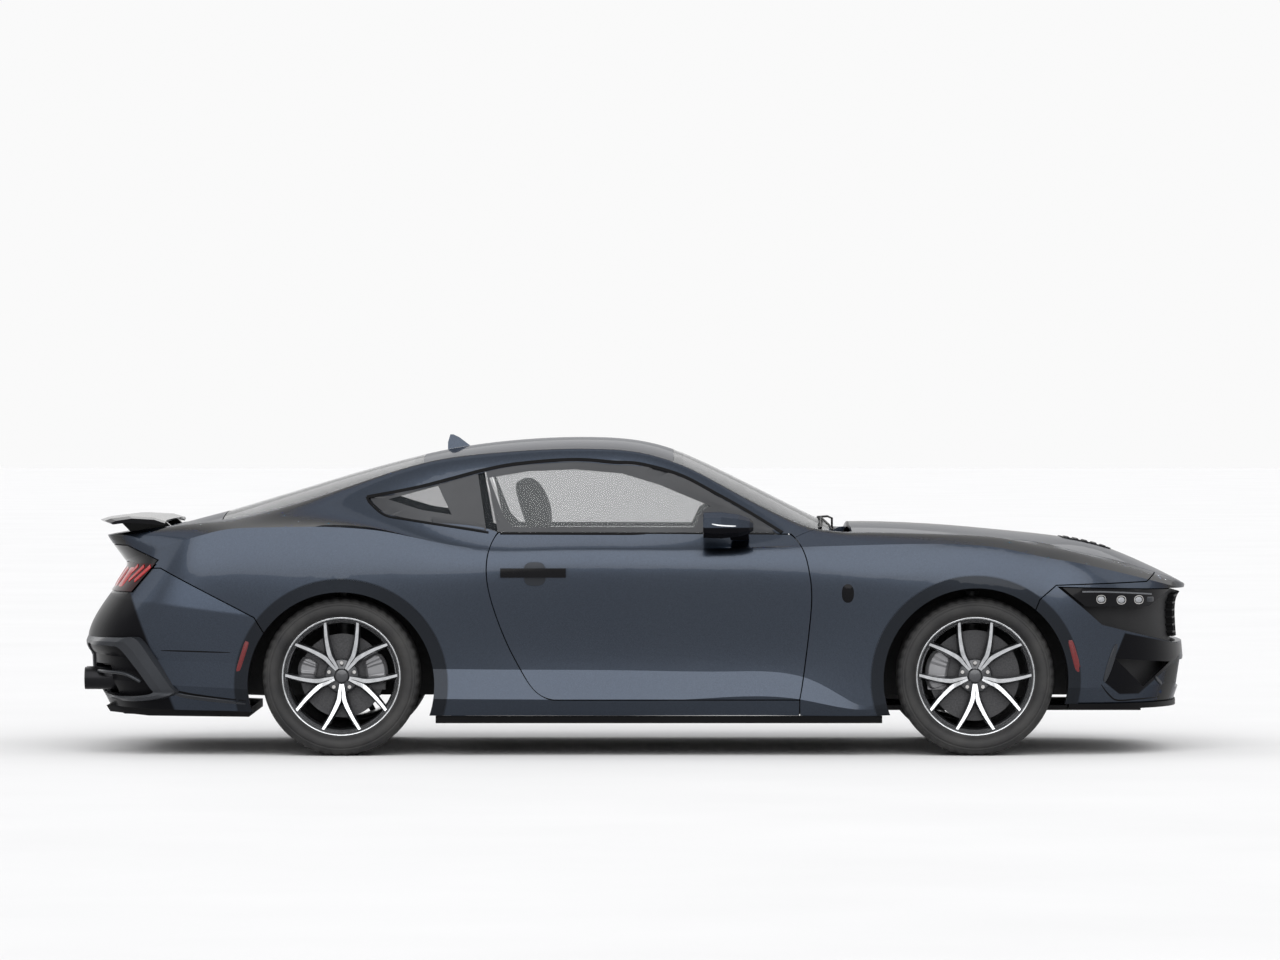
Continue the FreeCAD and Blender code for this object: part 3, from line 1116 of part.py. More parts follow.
for sign, side_name in ((-1, "right"), (1, "left")):
    low_y, high_y = (f"-{CABIN} - Sizes.sill_width", f"-{CABIN}") if sign < 0 else (
        CABIN, f"{CABIN} + Sizes.sill_width")
    platform_parts.append(box_between(
        f"sill_{side_name}", (BACK, low_y, "Sizes.floor_bottom"),
        (f"{AXLE_FRONT} - Sizes.liner_radius", high_y, "0.172 * Sizes.roof_height")))
    for end, place in (("rear", f"{BACK} + 2 * Sizes.jack_pad_radius"),
                       ("front", f"{AXLE_FRONT} - Sizes.liner_radius - 2 * Sizes.jack_pad_radius")):
        platform_parts.append(cylinder_at(
            f"jack_pad_{end}_{side_name}", "Sizes.jack_pad_radius",
            "Sizes.jack_pad_height + Sizes.floor_depth / 2",
            (place, f"{low_y} + Sizes.jack_pad_radius" if sign > 0 else f"{high_y} - Sizes.jack_pad_radius",
             "Sizes.floor_bottom - Sizes.jack_pad_height")))
platform = joined("platform_frame", platform_parts)
engine = box_between(
    "engine_block",
    ("Sizes.firewall_x + 3 * Sizes.firewall_depth", "-Sizes.engine_width / 2",
     "Sizes.floor_bottom + Sizes.floor_depth + Sizes.seat_gap"),
    ("Sizes.firewall_x + 3 * Sizes.firewall_depth + Sizes.engine_length", "Sizes.engine_width / 2",
     "Sizes.floor_bottom + Sizes.floor_depth + Sizes.seat_gap + Sizes.engine_height"))
keep_feature(engine, "engine_block")
doc.recompute()
keep("platform", main_piece(cut_by(platform.Shape, [side_space, mirrored(side_space)])))
print("chassis done")


# Seats: each a cushion on a foot, a leaning back and, in front, a head rest.
def turned_box(name, low, high, pitch):
    # A box leaning back about the Y axis through its low corner.
    feature = doc.addObject("Part::Box", name)
    for span, start, end in zip(("Length", "Width", "Height"), low, high):
        feature.setExpression(span, f"({end}) - ({start})")
    feature.Placement = FreeCAD.Placement(Vector(0, 0, 0), Rotation(Vector(0, 1, 0), -pitch))
    for axis, start in zip("xyz", low):
        feature.setExpression(f"Placement.Base.{axis}", start)
    return feature


FLOOR_TOP = "(Sizes.floor_bottom + Sizes.floor_depth + Sizes.seat_gap)"
HIP = "Sizes.seat_hip_x"
CUSHION = "(Sizes.seat_base_top - Sizes.seat_base_depth)"


def across_seat(share):
    return f"-Sizes.seat_centre_y + {share} * Sizes.seat_width"


seat_foot = box_between("seat_foot", (f"{HIP} + 0.1 * Sizes.seat_width", across_seat(-0.38), FLOOR_TOP),
                        (f"{HIP} + 0.8 * Sizes.seat_width", across_seat(0.38), f"{CUSHION} + Sizes.seat_gap"))
seat_base = box_between(
    "seat_base", (HIP, across_seat(-0.5), CUSHION),
    (f"{HIP} + Sizes.seat_width", across_seat(0.5), "Sizes.seat_base_top"))
seat_back = turned_box(
    "seat_back", (f"{HIP} - 0.4 * Sizes.seat_back_depth", across_seat(-0.48),
                  "Sizes.seat_base_top - 0.4 * Sizes.seat_back_depth"),
    (f"{HIP} + 0.5 * Sizes.seat_back_depth", across_seat(0.48), "Sizes.seat_back_top"), 17)
head_rest = turned_box(
    "head_rest", ("Sizes.head_rest_x", across_seat(-0.27), "Sizes.seat_back_top - 0.5 * Sizes.seat_back_depth"),
    ("Sizes.head_rest_x + 0.7 * Sizes.seat_back_depth", across_seat(0.27), "Sizes.head_rest_top"), 12)
seat = joined("front_seat", [seat_foot, seat_base, seat_back, head_rest])
doc.recompute()
keep("front_seats", with_mirror(seat.Shape.Solids))
BENCH = "(0.44 * Sizes.body_width / 2)"
bench_base = box_between(
    "bench_base", ("Sizes.bulkhead_x + Sizes.firewall_depth", f"-{BENCH}",
                   f"Sizes.boot_floor + {SHEET} + Sizes.seat_gap"),
    (f"{BACK} + 0.4 * Sizes.seat_width", BENCH, "Sizes.boot_floor + Sizes.seat_base_depth"))
bench_back = turned_box(
    "bench_back", ("Sizes.bulkhead_x + 1.15 * Sizes.seat_base_depth", f"-{BENCH}",
                   "Sizes.boot_floor + Sizes.seat_base_depth / 2"),
    ("Sizes.bulkhead_x + 1.75 * Sizes.seat_base_depth", BENCH,
     "Sizes.shelf_height + 0.2 * Sizes.seat_base_depth"), 17)
bench = joined("rear_seat", [bench_base, bench_back])
keep_feature(bench, "rear_seat")

# Dashboard with the console on the tunnel, and the steering wheel on its column.
dash_shares = [(0.315, 0.664), (0.205, 0.664), (0.188, 0.640), (0.184, 0.585), (0.200, 0.520), (0.240, 0.450),
               (0.315, 0.450)]
dash_half = 0.74 * half_width
dash_face = Part.Face(Part.makePolygon(
    [Vector(along * half_length, -dash_half, up * height) for along, up in dash_shares + dash_shares[:1]]))
dash = dash_face.extrude(Vector(0, 2 * dash_half, 0))
tunnel_top = size("floor_bottom") + size("tunnel_height") + size("seat_gap")
console_half = size("tunnel_width") * 0.42
console_shares = [(0.310, 0), (-0.110, 0), (-0.110, 0.105), (0.020, 0.105), (0.050, 0.080), (0.150, 0.080),
                  (0.215, 0.180), (0.310, 0.180)]
console_face = Part.Face(Part.makePolygon(
    [Vector(along * half_length, -console_half, tunnel_top + up * height)
     for along, up in console_shares + console_shares[:1]]))
dash = dash.fuse(console_face.extrude(Vector(0, 2 * console_half, 0)))
dash = dash.cut(block((size("firewall_x") - size("seat_gap"), -half_width, 0),
                      (half_length, half_width, height)))
keep("dashboard", main_piece(dash))
wheel_lean = Vector(-0.92, 0, 0.39).normalize()
wheel_centre = Vector(size("wheel_x"), size("seat_centre_y"), size("wheel_z"))
wheel_level = Vector(0, 1, 0)
wheel_up = wheel_level.cross(wheel_lean)
grip_sides = 10
grip_section = []
for i in range(grip_sides):
    turn = 2 * math.pi * i / grip_sides
    out = size("wheel_grip_radius") + size("wheel_grip_thickness") * math.cos(turn)
    lean = wheel_lean * (size("wheel_grip_thickness") * math.sin(turn))
    grip_section.append(wheel_centre + wheel_level * out + lean)
grip = Part.Face(Part.makePolygon(grip_section + grip_section[:1])).revolve(wheel_centre, wheel_lean, 360)
boss_radius = size("wheel_grip_radius") * 0.34
boss = Part.makeCylinder(boss_radius, size("wheel_grip_thickness") * 2,
                         wheel_centre - wheel_lean * (size("wheel_grip_thickness") * 2.4), wheel_lean)
column = Part.makeCylinder(size("spindle_radius"), size("wheel_grip_radius") * 1.4,
                           wheel_centre - wheel_lean * size("wheel_grip_thickness"), wheel_lean * -1)
wheel_parts = [boss, column]
spoke_foot = wheel_centre - wheel_lean * (size("wheel_grip_thickness") * 1.6)
for direction in (wheel_level, wheel_level * -1, wheel_up * -1):
    tip = wheel_centre + direction * size("wheel_grip_radius")
    run = tip - spoke_foot
    wheel_parts.append(Part.makeCylinder(size("wheel_grip_thickness") * 0.8, run.Length, spoke_foot, run))
steering_wheel = grip.multiFuse(wheel_parts).cut(dash)
keep("steering_wheel", main_piece(steering_wheel))
print("cabin done")


# Mirrors and handles of the doors, each seated on the skin.
skin_space = side_slab(-size("seat_gap"), size("door_depth"), low_strips)


def ring_section(x, middle_y, middle_z, half_wide, half_high, fullness=0.62):
    # Eight-cornered section across the car.
    return [(x, middle_y + a * half_wide, middle_z + b * half_high)
            for a, b in ((1, fullness), (fullness, 1), (-fullness, 1), (-1, fullness), (-1, -fullness),
                         (-fullness, -1), (fullness, -1), (1, -fullness))]


mirror_x = size("mirror_rear_x")
mirror_high = size("mirror_height") / 2
mirror_wide = size("mirror_reach") / 2
mirror_y = -size("mirror_span") + mirror_wide
mirror_z = size("mirror_z")
mirror_shapes = []
for share, drift, wide, high in ((0, 0, 1, 0.96), (0.35, 0.02, 0.99, 1), (0.7, 0.10, 0.86, 0.84),
                                 (0.92, 0.2, 0.62, 0.58), (1, 0.26, 0.36, 0.34)):
    mirror_shapes.append(ring_section(mirror_x + share * size("mirror_length"), mirror_y + drift * mirror_wide,
                                      mirror_z - drift * mirror_high * 0.3, wide * mirror_wide,
                                      high * mirror_high))
mirror_head = loft_between(mirror_shapes)
mirror_face = loft_between([
    ring_section(mirror_x - gap, mirror_y, mirror_z, mirror_wide * 0.9, mirror_high * 0.84),
    ring_section(mirror_x + gap, mirror_y, mirror_z, mirror_wide * 0.9, mirror_high * 0.84)])
mirror_head = mirror_head.cut(mirror_face)
arm_x = mirror_x + size("mirror_length") * 0.55
arm_profile = [(arm_x + a * size("mirror_length") * 0.3, y, z) for a, y, z in (
    (1.3, -0.86 * half_width, 0.655 * height), (1.1, mirror_y + mirror_wide * 0.5, mirror_z - mirror_high * 0.2),
    (-0.3, mirror_y + mirror_wide * 0.5, mirror_z - mirror_high * 0.2), (0.2, -0.86 * half_width, 0.655 * height))]
arm_depth = Vector(0, 0, size("mirror_height") * 0.22)
mirror_arm = Part.Face(Part.makePolygon([Vector(*corner) for corner in arm_profile + arm_profile[:1]]))
mirror_shape = mirror_head.fuse(mirror_arm.extrude(arm_depth)).cut(skin_space)
keep_pair("mirror", main_piece(mirror_shape))
handle_half = size("handle_length") / 2
handle_low = size("handle_z") - size("handle_height") / 2
handle_high = size("handle_z") + size("handle_height") / 2
proud = size("handle_proud")
handle_bar = side_slab(-proud, -proud / 2, side_strips[2:3]).common(
    block((size("handle_x") - handle_half, near_side, handle_low),
          (size("handle_x") + handle_half, 0, handle_high)))
handle_feet = side_slab(-proud * 0.6, -size("seat_gap"), side_strips[2:3])
handle_posts = []
for sign in (-1, 1):
    near_x = size("handle_x") + sign * handle_half * 0.98
    far_x = size("handle_x") + sign * handle_half * 0.78
    handle_posts.append(handle_feet.common(block((min(near_x, far_x), near_side, handle_low + gap),
                                                 (max(near_x, far_x), 0, handle_high - gap))))
keep_pair("door_handle", handle_bar.multiFuse(handle_posts))

# Wipers at the foot of the windshield, and the aerial fin on the roof.
def glass_point(y, forward):
    x = size("windshield_base_x") - y * y / (2 * base_radius) + forward
    return Vector(x, y, top_z(x, y, False) + 1.3 * size("wiper_radius"))


def jointed_bar(places, radius, level):
    # A six-sided bar along a line of places; level is a direction that the line never takes.
    rings = []
    for i, place in enumerate(places):
        run = places[min(i + 1, len(places) - 1)] - places[max(i - 1, 0)]
        side = run.cross(level).normalize()
        lift = side.cross(run).normalize()
        turns = [math.pi * k / 3 for k in range(6)]
        ring = [place + side * (radius * math.cos(turn)) + lift * (radius * math.sin(turn)) for turn in turns]
        rings.append([(corner.x, corner.y, corner.z) for corner in ring])
    return loft_between(rings)


wipers = []
for first_share, last_share, pivot_share in ((0.62, 0.08, 0.02), (-0.02, -0.56, -0.60)):
    span = last_share - first_share
    blade_shares = [first_share + span * i / 6 for i in range(7)]
    blade_places = [glass_point(share * half_width, -size("wiper_set")) for share in blade_shares]
    wipers.append(jointed_bar(blade_places, size("wiper_radius"), Vector(1, 0, 0)))
    clear = size("wiper_radius") * 1.6 + gap
    pivot = glass_point(pivot_share * half_width, 0) + Vector(clear, 0, 2 * size("wiper_radius"))
    foot_z = top_z(pivot.x, pivot.y, False) - size("cowl_set") + size("wiper_radius") * 0.4
    foot = Vector(pivot.x, pivot.y, foot_z)
    rest = blade_places[3] + Vector(0, 0, 1.8 * size("wiper_radius"))
    knee = pivot + (rest - pivot) * 0.3 + Vector(0, 0, size("wiper_radius"))
    wipers.append(jointed_bar([foot, pivot, knee, rest], size("wiper_radius") * 0.7, Vector(0, 1, 0)))
keep("wipers", Part.Compound(wipers))
fin_x, fin_length, fin_high = size("fin_x"), size("fin_length"), size("fin_height")
fin_low = top_z(fin_x - fin_length, 0, False) - size("roof_depth")
fin_top = top_z(fin_x - fin_length, 0, False) + fin_high
fin_shares = [(0, 0), (-0.34, 0.46), (-0.66, 0.86), (-0.84, 1.0), (-0.93, 1.0), (-1, 0.60), (-1, 0)]
fin_side = [(fin_x + a * fin_length, fin_low + b * (fin_top - fin_low)) for a, b in fin_shares]
fin_face = Part.Face(Part.makePolygon([Vector(x, 0, z) for x, z in fin_side + fin_side[:1]]))
fin_half = size("fin_width") / 2
fin = fin_face.extrude(Vector(0, fin_half, 0))
taper = Part.Face(Part.makePolygon([
    Vector(fin_x - 2 * fin_length, fin_half, fin_low - gap), Vector(fin_x - 2 * fin_length, 2 * fin_half, fin_low),
    Vector(fin_x - 2 * fin_length, 2 * fin_half, fin_top + gap),
    Vector(fin_x - 2 * fin_length, fin_half * 0.16, fin_top + gap),
    Vector(fin_x - 2 * fin_length, fin_half, fin_low - gap)])).extrude(Vector(3 * fin_length, 0, 0))
fin = fin.cut(taper)
fin = fin.fuse(mirrored(fin)).removeSplitter()
keep("aerial_fin", main_piece(fin.cut(top_slab(False, fin_x - 2 * fin_length, fin_x + fin_length,
                                               height / 4, -size("seat_gap")))))
doc.recompute()
print("details done")

for feature in nodes:
    shape = feature.Shape
    if "Invalid" in feature.State or "Error" in feature.State or shape.isNull() or not shape.isValid():
        raise ValueError(f"{feature.Label} did not build")
    if not shape.Solids:
        raise ValueError(f"{feature.Label} has no solid")
os.makedirs("parts", exist_ok=True)
for feature in nodes:
    feature.Shape.exportStep(f"parts/{feature.Label}.step")
print(len(nodes), "nodes written")
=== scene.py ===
import math

import bmesh
import bpy
from mathutils import Matrix, Vector
from mathutils.bvhtree import BVHTree


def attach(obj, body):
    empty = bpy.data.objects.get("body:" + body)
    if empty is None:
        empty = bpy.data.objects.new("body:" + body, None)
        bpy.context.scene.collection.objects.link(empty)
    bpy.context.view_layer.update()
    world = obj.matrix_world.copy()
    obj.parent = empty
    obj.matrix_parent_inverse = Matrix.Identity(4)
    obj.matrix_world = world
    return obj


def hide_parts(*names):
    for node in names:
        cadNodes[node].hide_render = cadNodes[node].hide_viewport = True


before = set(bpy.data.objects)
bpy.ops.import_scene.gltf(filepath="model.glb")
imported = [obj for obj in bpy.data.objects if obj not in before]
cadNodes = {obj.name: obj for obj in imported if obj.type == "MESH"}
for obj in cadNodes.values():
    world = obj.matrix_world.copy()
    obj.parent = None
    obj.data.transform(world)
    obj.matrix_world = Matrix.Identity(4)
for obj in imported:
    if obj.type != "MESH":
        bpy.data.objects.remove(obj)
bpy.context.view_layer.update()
scene = bpy.context.scene
sides = ((-1, "right"), (1, "left"))
print("frame loaded", len(cadNodes), "nodes")


# Finishes.

def shaderOf(finish):
    return next(n for n in finish.node_tree.nodes if n.type == "BSDF_PRINCIPLED")


def newFinish(name):
    finish = bpy.data.materials.new(name)
    finish.use_nodes = True
    return finish, finish.node_tree, shaderOf(finish)


def setShader(shader, **values):
    # Constants go straight onto the shader's own sockets.
    names = {"color": "Base Color", "metal": "Metallic", "rough": "Roughness", "coat": "Coat Weight",
             "coatRough": "Coat Roughness", "ior": "IOR", "clear": "Transmission Weight", "alpha": "Alpha",
             "sheen": "Sheen Weight", "sheenRough": "Sheen Roughness", "glow": "Emission Strength",
             "glowColor": "Emission Color", "spec": "Specular IOR Level", "edge": "Specular Tint"}
    for key, value in values.items():
        shader.inputs[names[key]].default_value = value


def addNode(tree, kind, **values):
    node = tree.nodes.new(kind)
    for key, value in values.items():
        if key in node.inputs:
            node.inputs[key].default_value = value
        else:
            setattr(node, key, value)
    return node


def bodySpace(tree):
    # Object coordinates: they move with the piece and are the car's own metres at rest.
    return addNode(tree, "ShaderNodeTexCoord").outputs["Object"]


def placeOf(tree):
    # The x, y and z of a point on the piece.
    split = addNode(tree, "ShaderNodeSeparateXYZ")
    tree.links.new(bodySpace(tree), split.inputs[0])
    return split.outputs


def noiseOf(tree, scale, detail=4.0, rough=0.55, stretch=(1, 1, 1)):
    mapping = addNode(tree, "ShaderNodeMapping")
    mapping.inputs["Scale"].default_value = stretch
    tree.links.new(bodySpace(tree), mapping.inputs["Vector"])
    noise = addNode(tree, "ShaderNodeTexNoise", Scale=scale, Detail=detail, Roughness=rough)
    tree.links.new(mapping.outputs["Vector"], noise.inputs["Vector"])
    return noise.outputs["Fac"]


def rampOf(tree, source, stops):
    ramp = addNode(tree, "ShaderNodeValToRGB")
    elements = ramp.color_ramp.elements
    while len(elements) < len(stops):
        elements.new(0.5)
    for element, (place, color) in zip(elements, stops):
        element.position = place
        element.color = (*color, 1) if len(color) == 3 else color
    tree.links.new(source, ramp.inputs["Fac"])
    return ramp.outputs["Color"]


def rangeOf(tree, source, low, high, start=0.0, end=1.0):
    # Low where the source is below start, high where it is past end, and a slope between them.
    spread = addNode(tree, "ShaderNodeMapRange", **{"From Min": start, "From Max": end, "To Min": low,
                                                    "To Max": high})
    tree.links.new(source, spread.inputs["Value"])
    return spread.outputs["Result"]


def bumpFrom(tree, shader, source, strength, distance):
    bump = addNode(tree, "ShaderNodeBump", Strength=strength, Distance=distance)
    tree.links.new(source, bump.inputs["Height"])
    tree.links.new(bump.outputs["Normal"], shader.inputs["Normal"])
    return bump


def grained(name, dark, pale, rough, grainScale, grainDepth, metal=0.0, coat=0.0, spec=0.5,
            stretch=(1, 1, 1)):
    # A moulded, cast or brushed finish: slight colour drift, uneven gloss and a fine grain.
    finish, tree, shader = newFinish(name)
    setShader(shader, color=(*pale, 1), metal=metal, coat=coat, coatRough=0.05, spec=spec)
    drift = noiseOf(tree, scale=3.0, detail=3.0)
    tree.links.new(rampOf(tree, drift, [(0.3, dark), (0.7, pale)]), shader.inputs["Base Color"])
    grain = noiseOf(tree, grainScale, detail=6.0, rough=0.6, stretch=stretch)
    tree.links.new(rangeOf(tree, grain, rough * 0.8, min(1.0, rough * 1.25)), shader.inputs["Roughness"])
    bumpFrom(tree, shader, grain, strength=0.35, distance=grainDepth)
    return finish


paintSettings = {
    "flakeDark": (0.024, 0.030, 0.041),
    "flakePale": (0.040, 0.050, 0.068),
    "edge": (0.16, 0.17, 0.20),           # keeps the paint from glaring where it is seen edge-on
    "lipShade": (0.30, 0.30, 0.30),       # painted shade, since the flared wheel lips face down and read darker
    "flakeScale": 900.0,
    "roughness": 0.30,
    "metal": 1.0,
    "coat": 0.30,
    # The x, z and radius of each wheel opening, and how wide its lip is.
    "archCentres": ((1.45, 0.324, 0.396, 0.054), (-1.27, 0.303, 0.400, 0.058)),
    "archEdge": 0.004,
}


def mixColours(tree, first, second, blendType="MIX", factor=None):
    mixed = addNode(tree, "ShaderNodeMix", data_type="RGBA", blend_type=blendType)
    mixed.inputs[0].default_value = 1.0
    if factor is not None:
        tree.links.new(factor, mixed.inputs[0])
    tree.links.new(first, mixed.inputs[6])
    if isinstance(second, tuple):
        mixed.inputs[7].default_value = (*second, 1)
    else:
        tree.links.new(second, mixed.inputs[7])
    return mixed.outputs[2]


def mathOf(tree, operation, first, second=None):
    node = addNode(tree, "ShaderNodeMath", operation=operation)
    for socket, value in zip(node.inputs, (first, second)):
        if value is None:
            continue
        if isinstance(value, (int, float)):
            socket.default_value = value
        else:
            tree.links.new(value, socket)
    return node.outputs[0]


def archMask(tree, centres, edge):
    # One on the lips round the wheel openings, where the paint takes painted shade, found from the distance
    # to each opening's middle.
    x, _, z = placeOf(tree)
    mask = 0.0
    for centreX, centreZ, radius, width in centres:
        squares = []
        for source, middle in ((x, centreX), (z, centreZ)):
            offset = mathOf(tree, "SUBTRACT", source, middle)
            squares.append(mathOf(tree, "MULTIPLY", offset, offset))
        reach = mathOf(tree, "SQRT", mathOf(tree, "ADD", *squares))
        near = rangeOf(tree, reach, 1.0, 0.0, radius + width - edge, radius + width + edge)
        mask = mathOf(tree, "MAXIMUM", mask, near)
    return mask


def makePaint(name, settings, withArches):
    # Blue-grey metallic base under a clear coat.
    finish, tree, shader = newFinish(name)
    setShader(shader, metal=settings["metal"], rough=settings["roughness"], coat=settings["coat"],
              coatRough=0.03, edge=(*settings["edge"], 1))
    flakes = addNode(tree, "ShaderNodeTexVoronoi", Scale=settings["flakeScale"], feature="F1")
    tree.links.new(bodySpace(tree), flakes.inputs["Vector"])
    flakeStops = [(0.15, settings["flakeDark"]), (0.85, settings["flakePale"])]
    spark = rampOf(tree, flakes.outputs["Color"], flakeStops)
    drift = rampOf(tree, noiseOf(tree, scale=1.4, detail=2.0),
                   [(0.35, (0.95, 0.96, 0.98)), (0.65, (1.0, 1.0, 1.0))])
    colour = mixColours(tree, spark, drift, "MULTIPLY")
    # Painted shade: with arches, the paint is darkened on the flared lips round the wheel openings.
    if withArches:
        shaded = mixColours(tree, colour, settings["lipShade"], "MULTIPLY")
        arches = archMask(tree, settings["archCentres"], settings["archEdge"])
        colour = mixColours(tree, colour, shaded, "MIX", arches)
    tree.links.new(colour, shader.inputs["Base Color"])
    orangePeel = noiseOf(tree, scale=260.0, detail=2.0)
    bumpFrom(tree, shader, orangePeel, strength=0.03, distance=0.0004)
    return finish


def addBlackZone(finish, zone, shade=(0.004, 0.004, 0.005)):
    # Turns part of a paint into plain gloss black; zone(tree, x, y, z) gives one where it is black.
    tree, shader = finish.node_tree, shaderOf(finish)
    mask = zone(tree, *placeOf(tree))
    colour = shader.inputs["Base Color"].links[0].from_socket
    tree.links.new(mixColours(tree, colour, shade, "MIX", mask), shader.inputs["Base Color"])
    for socket, blackValue in (("Metallic", 0.0), ("Coat Weight", 0.02)):
        value = rangeOf(tree, mask, shader.inputs[socket].default_value, blackValue)
        tree.links.new(value, shader.inputs[socket])
    shader.inputs["Specular IOR Level"].default_value = 0.06
    return finish


def makeGlass(name, tint, alpha, rough=0.02, spec=0.22, coat=0.12):
    finish, tree, shader = newFinish(name)
    setShader(shader, color=(*tint, 1), alpha=alpha, ior=1.5, spec=spec, coat=coat, coatRough=0.01)
    haze = rangeOf(tree, noiseOf(tree, scale=3.0, detail=2.0), rough, rough * 2.5)
    tree.links.new(haze, shader.inputs["Roughness"])
    return finish


def makeLens(name, color, glow=0.0):
    # Ribbed lamp plastic.
    finish, tree, shader = newFinish(name)
    setShader(shader, color=(*color, 1), rough=0.12, coat=0.25, coatRough=0.02, ior=1.49, spec=0.3,
              glowColor=(*color, 1), glow=glow)
    wave = addNode(tree, "ShaderNodeTexWave", Scale=55.0, Distortion=0.0)
    wave.bands_direction = "Z"
    tree.links.new(bodySpace(tree), wave.inputs["Vector"])
    tone = rampOf(tree, wave.outputs["Fac"], [(0.0, tuple(c * 0.7 for c in color)), (1.0, color)])
    tree.links.new(tone, shader.inputs["Base Color"])
    bumpFrom(tree, shader, wave.outputs["Fac"], strength=0.3, distance=0.0012)
    return finish


def makeRubber(name):
    # Tyre rubber: a fine grit and a dry bloom.
    finish, tree, shader = newFinish(name)
    setShader(shader, color=(0.022, 0.022, 0.023, 1), rough=0.62, spec=0.3)
    bloom = noiseOf(tree, scale=9.0, detail=5.0)
    tree.links.new(rampOf(tree, bloom, [(0.3, (0.016, 0.016, 0.017)), (0.75, (0.038, 0.037, 0.036))]),
                   shader.inputs["Base Color"])
    grit = noiseOf(tree, scale=420.0, detail=4.0)
    bumpFrom(tree, shader, grit, strength=0.25, distance=0.0006)
    return finish


def makeTurned(name, dark, pale, rough, grainScale):
    # Machined iron or alloy with a fine grain.
    finish, tree, shader = newFinish(name)
    setShader(shader, color=(*pale, 1), metal=0.9, rough=rough)
    grain = noiseOf(tree, grainScale, detail=5.0)
    tree.links.new(rampOf(tree, grain, [(0.3, dark), (0.7, pale)]), shader.inputs["Base Color"])
    bumpFrom(tree, shader, grain, strength=0.25, distance=0.0005)
    return finish


def makeLeather(name, base, pale, scale=170.0):
    finish, tree, shader = newFinish(name)
    setShader(shader, color=(*base, 1), rough=0.5, spec=0.4, sheen=0.08, sheenRough=0.4)
    cells = addNode(tree, "ShaderNodeTexVoronoi", Scale=scale, feature="DISTANCE_TO_EDGE")
    tree.links.new(bodySpace(tree), cells.inputs["Vector"])
    tone = rampOf(tree, noiseOf(tree, scale=6.0, detail=4.0), [(0.3, base), (0.75, pale)])
    tree.links.new(tone, shader.inputs["Base Color"])
    bumpFrom(tree, shader, cells.outputs["Distance"], strength=0.35, distance=0.0008)
    return finish


# A grained finish has a dark and a pale colour, its roughness, and the scale and depth of its grain.
bodyPaint = makePaint("bodyPaint", paintSettings, True)
lidPaint = makePaint("lidPaint", paintSettings, False)
glossBlack = grained("glossBlack", (0.002, 0.002, 0.003), (0.004, 0.004, 0.005), 0.14, 60.0, 0.0001,
                     coat=0.04, spec=0.10)
satinBlack = grained("satinBlack", (0.0015, 0.0015, 0.002), (0.0035, 0.0035, 0.004), 0.46, 300.0, 0.0004,
                     spec=0.07)
roughPlastic = grained("roughPlastic", (0.008, 0.008, 0.009), (0.018, 0.018, 0.019), 0.62, 260.0, 0.0010,
                       spec=0.2)
underCoat = grained("underCoat", (0.010, 0.010, 0.011), (0.026, 0.026, 0.027), 0.7, 90.0, 0.0020, spec=0.3)
sideGlass = makeGlass("sideGlass", (0.20, 0.21, 0.215), 0.24)
screenGlass = makeGlass("screenGlass", (0.045, 0.05, 0.055), 0.55, spec=0.05, coat=0.0)
smokedLens = grained("smokedLens", (0.003, 0.003, 0.004), (0.006, 0.006, 0.007), 0.10, 30.0, 0.0001,
                     coat=0.06, spec=0.10)
redLens = makeLens("redLens", (0.36, 0.006, 0.008), 0.15)
markerLens = makeLens("markerLens", (0.15, 0.012, 0.014), 0.0)
dimLens = makeLens("dimLens", (0.10, 0.105, 0.115), 0.0)
projectorLens = makeLens("projectorLens", (0.34, 0.35, 0.37), 0.0)
whiteLens = makeLens("whiteLens", (0.82, 0.84, 0.86), 0.25)
tyreRubber = makeRubber("tyreRubber")
wheelFace = makeTurned("wheelFace", (0.42, 0.43, 0.44), (0.62, 0.63, 0.65), 0.20, 40.0)
wheelDark = grained("wheelDark", (0.030, 0.031, 0.034), (0.070, 0.072, 0.078), 0.34, 200.0, 0.0003,
                    metal=0.6, coat=0.5)
brakeIron = makeTurned("brakeIron", (0.045, 0.045, 0.047), (0.075, 0.075, 0.078), 0.45, 150.0)
caliperGrey = grained("caliperGrey", (0.20, 0.20, 0.21), (0.30, 0.30, 0.31), 0.38, 120.0, 0.0006, metal=0.4)
gearSteel = grained("gearSteel", (0.05, 0.05, 0.052), (0.11, 0.11, 0.112), 0.5, 140.0, 0.0010, metal=0.7)
engineIron = grained("engineIron", (0.12, 0.12, 0.122), (0.22, 0.22, 0.222), 0.6, 80.0, 0.0025, metal=0.6)
pipeSteel = grained("pipeSteel", (0.42, 0.41, 0.40), (0.62, 0.61, 0.60), 0.16, 200.0, 0.0002, metal=1.0,
                    stretch=(0.1, 1, 1))
seatLeather = makeLeather("seatLeather", (0.020, 0.020, 0.021), (0.040, 0.040, 0.042))
wheelLeather = makeLeather("wheelLeather", (0.018, 0.018, 0.019), (0.034, 0.034, 0.035), 260.0)
cabinTrim = grained("cabinTrim", (0.022, 0.022, 0.023), (0.042, 0.042, 0.044), 0.6, 240.0, 0.0008)
mirrorSilver = grained("mirrorSilver", (0.80, 0.81, 0.82), (0.86, 0.87, 0.88), 0.03, 40.0, 0.00005,
                       metal=1.0)
# Painted shade: a darkened copy of the body paint, laid where the door handle's cup is recessed.
cupShade = grained("cupShade", (0.010, 0.012, 0.016), (0.016, 0.019, 0.025), 0.35, 60.0, 0.0002, metal=0.5)
tailSmoke = grained("tailSmoke", (0.012, 0.002, 0.003), (0.030, 0.004, 0.005), 0.12, 30.0, 0.0001,
                    coat=0.04, spec=0.08)
tipBlack = grained("tipBlack", (0.006, 0.006, 0.007), (0.016, 0.016, 0.018), 0.30, 90.0, 0.0003, metal=0.6,
                   spec=0.2)
bezelGrey = grained("bezelGrey", (0.020, 0.022, 0.026), (0.030, 0.033, 0.039), 0.38, 120.0, 0.0003,
                    metal=0.4, coat=0.1, spec=0.3)
